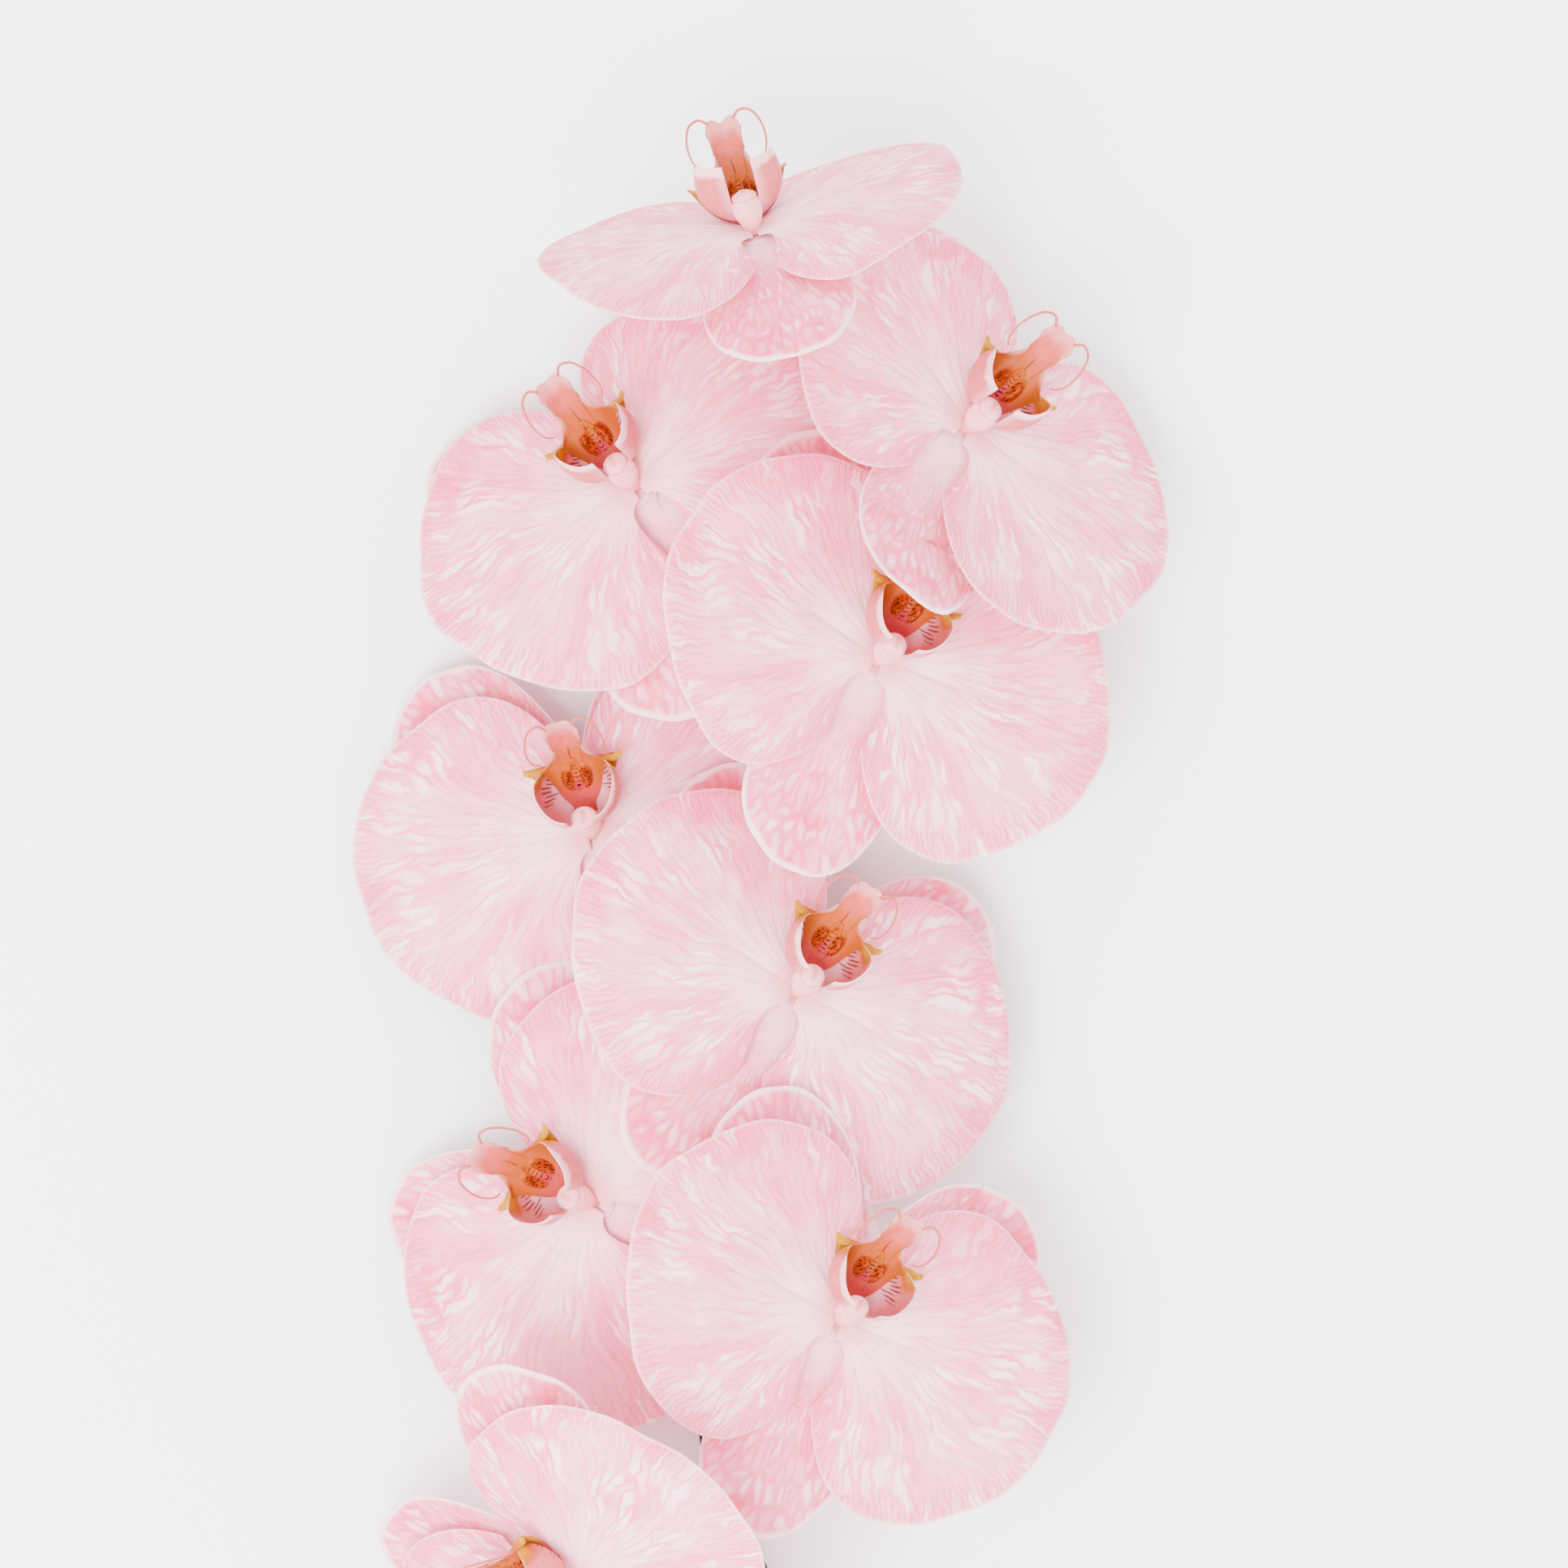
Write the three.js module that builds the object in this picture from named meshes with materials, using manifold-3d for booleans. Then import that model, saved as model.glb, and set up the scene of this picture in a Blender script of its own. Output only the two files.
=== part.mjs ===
// A cut moth orchid stem with nine open blooms, lying on a flat surface.
// Millimetres, +Z up. The stem's top points to +Y and its cut end to -Y.
// The origin is on the surface, under the middle of the whole stem's outline.

import * as THREE from 'three';
import { mergeVertices } from 'three/addons/utils/BufferGeometryUtils.js';
import Module from 'manifold-3d';

const wasm = await Module();
wasm.setup();

// Thickness of a petal, gap between pieces that touch, and how close points are merged
const BLADE = 0.8;
const GAP = 0.3;
const MERGE = 1e-4;

// The blooms. at is where the petals meet, in a frame whose zero is the middle of the flower head.
// lean is the angle between the bloom's face and straight up, toward the plan direction it leans,
// lip the plan direction of its lip, turn the swing of its dorsal sepal and sweep that of its petals
// towards the lip, all in degrees. droop bends a side back, in mm at BEND_REACH, and reach is a
// petal's length as a share of the usual one.
const BLOOMS = [
  {
    name: 'bloom1', at: [-7, 128, 61], lean: 71, toward: 105, lip: 107, turn: 0,
    reach: { left: 0.86, right: 0.86 }, droop: { dorsal: 6, left: -3 },
  },
  {
    name: 'bloom2', at: [-35, 70, 30.5], lean: 31, toward: 137, lip: 129, turn: -30, sweep: 4,
    reach: { left: 0.96, right: 0.83 }, droop: { dorsal: 12, lip: -4, left: -2, right: 14 },
  },
  {
    name: 'bloom3', at: [42.5, 83, 43.5], lean: 38, toward: 31, lip: 47, turn: 14, sweep: 8,
    reach: { left: 0.88 }, droop: { dorsal: -14, lip: 2, left: 3, right: 1 },
  },
  {
    name: 'bloom4', at: [22, 29, 46.5], lean: 22, toward: 22, lip: 65, turn: 0, sweep: 4,
    droop: { dorsal: -3, lip: -6, left: -5 },
  },
  {
    name: 'bloom5', at: [-45, -11, 22.5], lean: 9, toward: 154, lip: 102, turn: 3,
    droop: { dorsal: 12, lip: -5, left: 9, right: 12 },
  },
  {
    name: 'bloom6', at: [3, -48, 40.5], lean: 21, toward: 27, lip: 61, turn: -11,
    droop: { dorsal: 3, lip: -2, left: -1, right: 9 },
  },
  {
    name: 'bloom7', at: [-45, -97, 32.5], lean: 24, toward: 190, lip: 149, turn: 20,
    reach: { left: 1.06 }, droop: { dorsal: 34, lip: -7, left: 6, right: 12 },
  },
  {
    name: 'bloom8', at: [13, -124, 52.5], lean: 22, toward: 11, lip: 65, turn: 0,
    droop: { lip: -4, left: -4 },
  },
  {
    name: 'bloom9', at: [-48, -184, 46], lean: 46, toward: 239, lip: 150, turn: 0, droop: {},
  },
];
const BEND_REACH = 50;

// Petal: length along its axis, half widths on the lip side and the dorsal side
const PETAL = {
  length: 58.5, lipSide: 36, dorsalSide: 39, widest: 0.49, flare: 0.18, open: 0.62,
  root: 2.5, clawHalf: 3.1, rise: 0.2, fall: 9, curl: 3.2, ripple: 0.9, waves: 3, leftPhase: 2,
  rows: [[0, 2], [0.22, 6], [0.5, 12], [0.78, 12], [1, 12]],
};

// Sepals: two lateral ones on the lip side and the dorsal one opposite the lip
const SEPAL = { root: 2.2, drop: 2.1, rows: [[0, 2], [0.12, 2], [0.4, 8], [0.72, 8], [1, 8]] };
const LATERAL = {
  length: 56, half: 17.5, clawHalf: 1.8, flare: 0.35, open: 1, axis: 46, slope: 0.07, fall: 3, curl: 2.2,
};
const DORSAL = {
  length: 54, half: 17.5, clawHalf: 3, flare: 0.2, open: 0.5, axis: -90, slope: 0.05, fall: 3, curl: 2.2,
};
const HUB = { radius: 3.2, top: -0.7, bottom: -3.2, sides: 8 };

// Where a vein leaves the claw: its control point, as shares of the length and of the margin point
const VEIN = { along: 0.16, out: 0.3, across: 0.25 };

// Column: height, centre towards the lip, half width and half depth of each ring
const COLUMN_RINGS = [
  [-0.4, 0, 2.0, 2.0], [1.4, 0.2, 2.1, 2.1], [3.6, 1.1, 3.0, 2.6],
  [6.2, 2.2, 3.4, 2.9], [8.2, 2.8, 3.0, 2.6], [9.3, 3.0, 1.5, 1.4],
];
const COLUMN_SIDES = 8;

// Lip: half outline of the arrow-shaped middle lobe from the notch round the wing to the tip
const MIDLOBE = {
  half: [[5.2, 18.6], [11.4, 19.2], [8.8, 22.4], [6.2, 25.2], [3.2, 27.6], [0, 28.8]],
  foot: 2.6, footHalf: 1.6, base: 0, rise: 0.3, arch: 0.006, wingDrop: 1.6,
  rows: [[0, 2], [0.5, 2], [0.8, 10], [1, 10]],
};
const SIDE_LOBE = {
  foot: 2.4, footFrom: 13, footTo: 8, footLow: 0.7, footHigh: 2.3,
  centre: [3.6, 9.6], radius: 9.6, from: 58, sweep: 132, low: 8, high: 13, crest: 0.62,
  cup: 0.7, cupRise: 1.9,
  rows: [[0, 2], [0.5, 6], [1, 6]],
};
const CALLUS = { at: [0, 12.6, 5.2], size: [2.6, 2.3, 2.4], detail: 1 };
const TENDRIL = {
  path: [
    [0.8, 27, 10.9], [1.8, 28.8, 12.2], [4.8, 28.6, 13.2], [7.8, 24.8, 14], [7.8, 20.2, 13.8],
    [4.6, 17.8, 13.2], [1.4, 19.4, 12.8],
  ],
  radius: 0.5, sides: 3, steps: 8,
};

// Stem: centre line from the cut end to the tip, and its radius at each end
const STEM_ROUTE = [
  [31, -480, 3.1], [30, -420, 3.1], [29, -360, 3.0], [26, -300, 3.0], [18, -250, 3.2], [5, -210, 4.4],
  [-11, -173, 4.5], [-18, -150, 5], [-17, -110, 5], [-16, -60, 5], [-14, -6, 5], [-12, 32, 5.5],
  [-6, 60, 8.5], [2.5, 75, 12.5], [11.3, 85, 19], [11.5, 91, 26], [10, 98, 35],
];
const STEM = {
  bottomRadius: 3.15, topRadius: 1.55, sides: 8, swell: 0.28, reach: 5, knotRings: [-5, 0, 5], plainStep: 22,
  leastStep: 7, tipClear: 1, divisions: 2000,
};

// Where each stalk leaves the stem, as the distance up the plan from zero, and bare knots below
const KNOTS = {
  bloom1: 98, bloom2: 66, bloom3: 86, bloom4: 35, bloom5: -5, bloom6: -46, bloom7: -88, bloom8: -128,
  bloom9: -160,
};
const BARE_KNOTS = [-222, -290, -365, -440];
const BRACT = {
  length: 5, half: 2, below: 6.5, bareLength: 15, bareHalf: 4.2, sunk: 0.85, lift: 1,
  slant: 0.35, taper: 0.75, rows: [[0, 2], [0.5, 2], [1, 0]],
};
const STALK = {
  stemRadius: 1.35, ovaryRadius: 2.1, swollenFrom: 0.62, sides: 6, steps: 7, leave: 9, arrive: 11, clear: 0.5,
  tipShare: 0.999,
};

const DEG = Math.PI / 180;
const LOOKS = {
  blade: { color: 0xf7d3da, roughness: 0.6 },
  lip: { color: 0xee9a90, roughness: 0.5 },
  column: { color: 0xf6e2e2, roughness: 0.5 },
  stem: { color: 0x4a3a33, roughness: 0.7 },
  stalk: { color: 0xc79a93, roughness: 0.6 },
};

function vec(values) {
  return new THREE.Vector3(...values);
}

// Signed volume of an indexed triangle mesh, positive when its faces point out
function signedVolume(points, triangles) {
  let sum = 0;
  for (const [a, b, c] of triangles) {
    sum += points[a].dot(points[b].clone().cross(points[c])) / 6;
  }
  return sum;
}

// A BufferGeometry of points and triangles, with its faces turned outwards
function closedGeometry(points, triangles) {
  const outward = signedVolume(points, triangles) > 0;
  const geometry = new THREE.BufferGeometry();
  const flat = points.flatMap((p) => [p.x, p.y, p.z]);
  const index = triangles.flatMap(([a, b, c]) => (outward ? [a, b, c] : [a, c, b]));
  geometry.setAttribute('position', new THREE.Float32BufferAttribute(flat, 3));
  geometry.setIndex(index);
  return geometry;
}

// Triangles between two rows of points of a blade, each row given by its first index and its columns
function zip(near, far) {
  const faces = [];
  let a = 0;
  let b = 0;
  while (a < near.columns || b < far.columns) {
    const nextNear = near.columns ? (a + 1) / near.columns : Infinity;
    const nextFar = far.columns ? (b + 1) / far.columns : Infinity;
    if (b >= far.columns || (a < near.columns && nextNear < nextFar)) {
      faces.push([near.first + a, far.first + b, near.first + a + 1]);
      a += 1;
    } else {
      faces.push([near.first + a, far.first + b, far.first + b + 1]);
      b += 1;
    }
  }
  return faces;
}

// A blade of even thickness on a surface(s, t), s in 0..1 from root to margin and t in -1..1 across.
// Each row gives its s and its number of columns. Both faces are split into the same triangles.
function blade(surface, rowForms, thickness = BLADE) {
  const step = 1e-3;
  const rows = [];
  const upper = [];
  const lower = [];
  for (const [s, columns] of rowForms) {
    rows.push({ first: upper.length, columns });
    for (let j = 0; j <= columns; j += 1) {
      const t = columns ? (2 * j) / columns - 1 : 0;
      const along = surface(Math.min(1, s + step), t).sub(surface(Math.max(0, s - step), t));
      const across = surface(s, Math.min(1, t + step)).sub(surface(s, Math.max(-1, t - step)));
      const normal = across.cross(along).normalize();
      upper.push(surface(s, t).addScaledVector(normal, thickness / 2));
      lower.push(surface(s, t).addScaledVector(normal, -thickness / 2));
    }
  }
  const faces = [];
  for (let i = 0; i + 1 < rows.length; i += 1) {
    faces.push(...zip(rows[i], rows[i + 1]));
  }
  const last = rows[rows.length - 1];
  const rim = [];
  for (let j = 0; j < rows[0].columns; j += 1) {
    rim.push([j, j + 1]);
  }
  for (let i = 0; i + 1 < rows.length; i += 1) {
    rim.push([rows[i].first + rows[i].columns, rows[i + 1].first + rows[i + 1].columns]);
    rim.push([rows[i + 1].first, rows[i].first]);
  }
  for (let j = 0; j < last.columns; j += 1) {
    rim.push([last.first + j + 1, last.first + j]);
  }
  const under = upper.length;
  const all = [...faces];
  all.push(...faces.map(([a, b, c]) => [under + a, under + c, under + b]));
  for (const [a, b] of rim) {
    all.push([a, b, under + b], [a, under + b, under + a]);
  }
  return closedGeometry([...upper, ...lower], all);
}

// A closed tube through rings of points, each ring an array of the same length
function skin(rings) {
  const sides = rings[0].length;
  const points = rings.flat();
  const faces = [];
  for (let i = 0; i + 1 < rings.length; i += 1) {
    for (let j = 0; j < sides; j += 1) {
      const a = i * sides + j;
      const b = i * sides + ((j + 1) % sides);
      faces.push([a, b, b + sides], [a, b + sides, a + sides]);
    }
  }
  const last = (rings.length - 1) * sides;
  for (let j = 1; j + 1 < sides; j += 1) {
    faces.push([0, j + 1, j], [last, last + j, last + j + 1]);
  }
  return closedGeometry(points, faces);
}

// Evenly spaced shares of a curve's length
function evenShares(steps) {
  return Array.from({ length: steps + 1 }, (_, i) => i / steps);
}

// A tapering tube along a curve, with one flat of its section always facing down
function taperedTube(curve, radiusAt, sides, shares) {
  const up = new THREE.Vector3(0, 0, 1);
  const rings = [];
  for (const share of shares) {
    const centre = curve.getPointAt(share);
    const tangent = curve.getTangentAt(share);
    const side = tangent.clone().cross(up).normalize();
    const rise = side.clone().cross(tangent).normalize();
    const radius = radiusAt(share, centre);
    const ring = [];
    for (let j = 0; j < sides; j += 1) {
      const angle = ((j + 0.5) / sides) * 2 * Math.PI + Math.PI / 2;
      const point = centre.clone().addScaledVector(side, radius * Math.cos(angle));
      ring.push(point.addScaledVector(rise, radius * Math.sin(angle)));
    }
    rings.push(ring);
  }
  return skin(rings);
}

// Joins closed geometries into one solid
function join(geometries) {
  const solids = geometries.map((geometry) => {
    const plain = geometry.clone();
    plain.deleteAttribute('normal');
    plain.deleteAttribute('uv');
    const merged = mergeVertices(plain, MERGE);
    const vertProperties = new Float32Array(merged.attributes.position.array);
    const triVerts = new Uint32Array(merged.index.array);
    return new wasm.Manifold(new wasm.Mesh({ numProp: 3, vertProperties, triVerts }));
  });
  const whole = solids.reduce((sum, solid) => sum.add(solid)).getMesh();
  const geometry = new THREE.BufferGeometry();
  geometry.setAttribute('position', new THREE.Float32BufferAttribute(whole.vertProperties, 3));
  geometry.setIndex(Array.from(whole.triVerts));
  return geometry;
}

// The bloom's turn from its own frame, +Z its face and +Y its lip, into the part's frame
function bloomTurn({ lean, toward, lip }) {
  const about = (axis, degrees) => new THREE.Matrix4().makeRotationAxis(vec(axis), degrees * DEG);
  const turn = about([0, 0, 1], toward);
  turn.multiply(about([0, 1, 0], lean));
  turn.multiply(about([0, 0, 1], -toward));
  return turn.multiply(about([0, 0, 1], lip - 90));
}

// Bends the bloom's blades back behind its face, more the further they reach
function bent(point, droop) {
  const reach = {
    dorsal: Math.max(0, -point.y),
    lip: Math.max(0, point.y),
    right: Math.max(0, point.x),
    left: Math.max(0, -point.x),
  };
  for (const [side, amount] of Object.entries(droop)) {
    point.z -= amount * (reach[side] / BEND_REACH) ** 2;
  }
  return point;
}

// A point of a vein that runs from the claw to the margin
function onVein(s, claw, margin, length) {
  const bendU = VEIN.along * length + VEIN.out * margin[0];
  const bendV = VEIN.across * margin[1];
  const keep = 1 - s;
  const u = keep * keep * claw[0] + 2 * keep * s * bendU + s * s * margin[0];
  const v = keep * keep * claw[1] + 2 * keep * s * bendV + s * s * margin[1];
  return [u, v];
}

// Petal: side is 1 for the right one and -1 for the left one
function petal(side, { droop, sweep = 0, reach = {} }, phase) {
  const rounding = PETAL.length * (1 - PETAL.widest);
  const swing = sweep * DEG;
  const stretch = reach[side > 0 ? 'right' : 'left'] ?? 1;
  const surface = (s, t) => {
    const angle = t * (Math.PI - PETAL.open);
    const half = t > 0 ? PETAL.lipSide : PETAL.dorsalSide;
    const marginU = PETAL.length * PETAL.widest + rounding * Math.cos(angle);
    const marginV = half * Math.sin(angle) * (1 - PETAL.flare * Math.cos(angle));
    const [u, v] = onVein(s, [PETAL.root, PETAL.clawHalf * t], [marginU, marginV], PETAL.length);
    const arch = PETAL.rise * u - PETAL.fall * (u / PETAL.length) ** 2;
    const curl = PETAL.curl * (v / PETAL.lipSide) ** 2;
    const wave = PETAL.ripple * s ** 3 * Math.sin(PETAL.waves * angle + phase);
    const x = stretch * u * Math.cos(swing) - v * Math.sin(swing);
    const y = stretch * u * Math.sin(swing) + v * Math.cos(swing);
    return bent(new THREE.Vector3(side * x, y, arch - curl + wave), droop);
  };
  return blade(surface, PETAL.rows);
}

// One sepal, turned to its axis and mirrored by side
function sepal(form, side, droop, turn) {
  const axis = (form.axis + turn) * DEG;
  const middle = form.length / 2;
  const surface = (s, t) => {
    const angle = t * (Math.PI - form.open);
    const marginU = middle + middle * Math.cos(angle);
    const marginV = form.half * Math.sin(angle) * (1 + form.flare * Math.cos(angle));
    const [u, v] = onVein(s, [SEPAL.root, form.clawHalf * t], [marginU, marginV], form.length);
    const curl = form.curl * (v / form.half) ** 2;
    const back = SEPAL.drop + form.slope * u + form.fall * (u / form.length) ** 2 + curl;
    const x = u * Math.cos(axis) - v * Math.sin(axis);
    const y = u * Math.sin(axis) + v * Math.cos(axis);
    return bent(new THREE.Vector3(side * x, y, -back), droop);
  };
  return blade(surface, SEPAL.rows);
}

// The three sepals on the small hub behind the petals
function sepals(droop, turn) {
  const hub = new THREE.CylinderGeometry(HUB.radius, HUB.radius, HUB.top - HUB.bottom, HUB.sides);
  hub.rotateX(Math.PI / 2);
  hub.translate(0, 0, (HUB.top + HUB.bottom) / 2);
  const laterals = [sepal(LATERAL, 1, droop, 0), sepal(LATERAL, -1, droop, 0)];
  return join([hub, ...laterals, sepal(DORSAL, 1, droop, turn)]);
}

// The column, which leans over the lip, with its anther cap
function column() {
  const rings = COLUMN_RINGS.map(([height, centre, halfWidth, halfDepth]) => {
    const ring = [];
    for (let j = 0; j < COLUMN_SIDES; j += 1) {
      const angle = (j / COLUMN_SIDES) * 2 * Math.PI;
      ring.push(new THREE.Vector3(halfWidth * Math.cos(angle), centre + halfDepth * Math.sin(angle), height));
    }
    return ring;
  });
  return skin(rings);
}

// Middle lobe of the lip, arrow-shaped, rising towards its tip
function middleLobe() {
  const right = MIDLOBE.half;
  const margin = [...right.map(([x, y]) => [-x, y]), ...right.slice(0, -1).reverse()];
  const columns = margin.length - 1;
  const surface = (s, t) => {
    const place = ((t + 1) / 2) * columns;
    const first = Math.min(columns - 1, Math.floor(place));
    const mix = place - first;
    const x = margin[first][0] * (1 - mix) + margin[first + 1][0] * mix;
    const y = margin[first][1] * (1 - mix) + margin[first + 1][1] * mix;
    const px = MIDLOBE.footHalf * t * (1 - s) + x * s;
    const py = MIDLOBE.foot * (1 - s) + y * s;
    const run = py - MIDLOBE.foot;
    const height = MIDLOBE.base + MIDLOBE.rise * run + MIDLOBE.arch * run * run;
    return new THREE.Vector3(px, py, height - MIDLOBE.wingDrop * (px / MIDLOBE.half[1][0]) ** 2);
  };
  return blade(surface, MIDLOBE.rows);
}

// Upright side lobe, cupped round the column
function sideLobe(side) {
  const surface = (s, t) => {
    const share = (t + 1) / 2;
    const angle = (SIDE_LOBE.from - SIDE_LOBE.sweep * share) * DEG;
    const footY = SIDE_LOBE.footFrom + (SIDE_LOBE.footTo - SIDE_LOBE.footFrom) * share;
    const footZ = SIDE_LOBE.footHigh + (SIDE_LOBE.footLow - SIDE_LOBE.footHigh) * share;
    const foot = new THREE.Vector3(SIDE_LOBE.foot, footY, footZ);
    const rimX = SIDE_LOBE.centre[0] + SIDE_LOBE.radius * Math.cos(angle);
    const rimY = SIDE_LOBE.centre[1] + SIDE_LOBE.radius * Math.sin(angle);
    const climb = Math.sin((Math.PI / 2) * Math.min(1, share / SIDE_LOBE.crest));
    const rimZ = SIDE_LOBE.low + (SIDE_LOBE.high - SIDE_LOBE.low) * climb;
    const rim = new THREE.Vector3(rimX, rimY, rimZ);
    const cup = foot.clone().lerp(rim, SIDE_LOBE.cup);
    cup.z = footZ + SIDE_LOBE.cupRise;
    const keep = 1 - s;
    const point = foot.multiplyScalar(keep * keep);
    point.addScaledVector(cup, 2 * keep * s).addScaledVector(rim, s * s);
    point.x *= side;
    return point;
  };
  return blade(surface, SIDE_LOBE.rows);
}

// Thread-like end of the middle lobe
function tendril(side) {
  const path = new THREE.CatmullRomCurve3(TENDRIL.path.map(([x, y, z]) => new THREE.Vector3(side * x, y, z)));
  return taperedTube(path, () => TENDRIL.radius, TENDRIL.sides, evenShares(TENDRIL.steps));
}

// The whole lip
function lip() {
  const callus = new THREE.OctahedronGeometry(1, CALLUS.detail);
  callus.scale(...CALLUS.size);
  callus.translate(...CALLUS.at);
  return join([middleLobe(), sideLobe(1), sideLobe(-1), callus, tendril(1), tendril(-1)]);
}

const stemCurve = new THREE.CatmullRomCurve3(STEM_ROUTE.map(vec), false, 'centripetal');
stemCurve.arcLengthDivisions = STEM.divisions;

// The share of the stem's length at a distance up the plan
function stemShareAt(distance) {
  const halvings = 40;
  let low = 0;
  let high = 1;
  for (let i = 0; i < halvings; i += 1) {
    const middle = (low + high) / 2;
    if (stemCurve.getPointAt(middle).y < distance) {
      low = middle;
    } else {
      high = middle;
    }
  }
  return (low + high) / 2;
}

// Stem radius: an even taper, swollen at each knot
function stemRadius(share, centre) {
  const plain = STEM.bottomRadius + (STEM.topRadius - STEM.bottomRadius) * share;
  const knots = [...Object.values(KNOTS), ...BARE_KNOTS];
  const nearest = Math.min(...knots.map((knot) => Math.abs(knot - centre.y)));
  return plain * (1 + STEM.swell * Math.exp(-((nearest / STEM.reach) ** 2)));
}

// Shares of the stem's length where its rings lie: at its ends, round each knot and evenly between
function stemShares() {
  const knots = [...Object.values(KNOTS), ...BARE_KNOTS];
  const close = knots.flatMap((knot) => STEM.knotRings.map((offset) => knot + offset));
  const low = STEM_ROUTE[0][1];
  const high = STEM_ROUTE[STEM_ROUTE.length - 1][1];
  const plain = [];
  for (let distance = low + STEM.plainStep; distance < high; distance += STEM.plainStep) {
    if (close.every((other) => Math.abs(other - distance) > STEM.leastStep)) {
      plain.push(distance);
    }
  }
  const inside = [...close, ...plain].filter((distance) => distance < high - STEM.tipClear);
  inside.sort((a, b) => a - b);
  return [0, ...inside.map(stemShareAt), 1];
}

// Small scale leaf that clasps the stem at a knot, on its upper side
function bract(distance, side, length, half) {
  const share = stemShareAt(distance);
  const centre = stemCurve.getPointAt(share);
  const tangent = stemCurve.getTangentAt(share);
  const out = new THREE.Vector3(-tangent.y, tangent.x, 0).normalize().multiplyScalar(side);
  const up = out.clone().cross(tangent).multiplyScalar(side);
  const radius = stemRadius(share, centre);
  const surface = (s, t) => {
    const along = s * length * (1 - BRACT.slant * t * t);
    const around = (t * half * (1 - BRACT.taper * s * s)) / radius;
    const clear = radius * BRACT.sunk + BRACT.lift * s;
    const point = centre.clone().addScaledVector(tangent, along);
    point.addScaledVector(out, clear * Math.cos(around));
    return point.addScaledVector(up, clear * Math.sin(around));
  };
  return blade(surface, BRACT.rows);
}

// The stem with its knots and scale leaves
function stem() {
  const tube = taperedTube(stemCurve, stemRadius, STEM.sides, stemShares());
  const pieces = [tube];
  for (const bloom of BLOOMS) {
    const side = bloom.at[0] < stemCurve.getPointAt(stemShareAt(KNOTS[bloom.name])).x ? 1 : -1;
    pieces.push(bract(KNOTS[bloom.name] - BRACT.below, side, BRACT.length, BRACT.half));
  }
  BARE_KNOTS.forEach((knot, i) => pieces.push(bract(knot, i % 2 ? 1 : -1, BRACT.bareLength, BRACT.bareHalf)));
  return join(pieces);
}

// Flower stalk and ovary, from the stem's side, or its very tip, to the back of the bloom
function stalk(bloom, turn) {
  const share = stemShareAt(KNOTS[bloom.name]);
  const foot = stemCurve.getPointAt(share);
  const back = new THREE.Vector3(0, 0, HUB.bottom - GAP).applyMatrix4(turn).add(vec(bloom.at));
  const facing = new THREE.Vector3(0, 0, 1).transformDirection(turn);
  const tangent = stemCurve.getTangentAt(share);
  const atTip = share > STALK.tipShare;
  const leave = atTip ? tangent.clone() : back.clone().sub(foot);
  if (!atTip) {
    leave.addScaledVector(tangent, -leave.dot(tangent)).normalize();
  }
  const start = foot.clone().addScaledVector(leave, (atTip ? 0 : stemRadius(share, foot)) + STALK.clear);
  const near = start.clone().addScaledVector(leave, STALK.leave);
  const far = back.clone().addScaledVector(facing, -STALK.arrive);
  const line = new THREE.CubicBezierCurve3(start, near, far, back);
  const swollen = (along) => Math.min(1, along / STALK.swollenFrom) ** 2;
  const radius = (along) => STALK.stemRadius + (STALK.ovaryRadius - STALK.stemRadius) * swollen(along);
  return taperedTube(line, radius, STALK.sides, evenShares(STALK.steps));
}

function mesh(name, geometry, look) {
  const material = new THREE.MeshStandardMaterial({ ...look, metalness: 0 });
  const piece = new THREE.Mesh(geometry, material);
  piece.name = name;
  return piece;
}

// One bloom in its place, and its stalk
function addBloom(part, bloom, order) {
  const turn = bloomTurn(bloom);
  const flower = new THREE.Group();
  flower.applyMatrix4(turn);
  flower.position.set(...bloom.at);
  flower.add(mesh(`${bloom.name}_petal_right`, petal(1, bloom, order), LOOKS.blade));
  flower.add(mesh(`${bloom.name}_petal_left`, petal(-1, bloom, order + PETAL.leftPhase), LOOKS.blade));
  flower.add(mesh(`${bloom.name}_sepals`, sepals(bloom.droop, bloom.turn), LOOKS.blade));
  flower.add(mesh(`${bloom.name}_lip`, lip(), LOOKS.lip));
  flower.add(mesh(`${bloom.name}_column`, column(), LOOKS.column));
  part.add(flower);
  part.add(mesh(`${bloom.name}_stalk`, stalk(bloom, turn), LOOKS.stalk));
}

const part = new THREE.Group();
part.add(mesh('stem', stem(), LOOKS.stem));
BLOOMS.forEach((bloom, order) => addBloom(part, bloom, order));

// The origin goes under the middle of the outline
part.updateMatrixWorld(true);
const box = new THREE.Box3().setFromObject(part, true);
part.position.set(-(box.min.x + box.max.x) / 2, -(box.min.y + box.max.y) / 2, -box.min.z);

export default part;
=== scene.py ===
import math

import bpy
import numpy as np
from mathutils import Matrix, Vector


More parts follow.
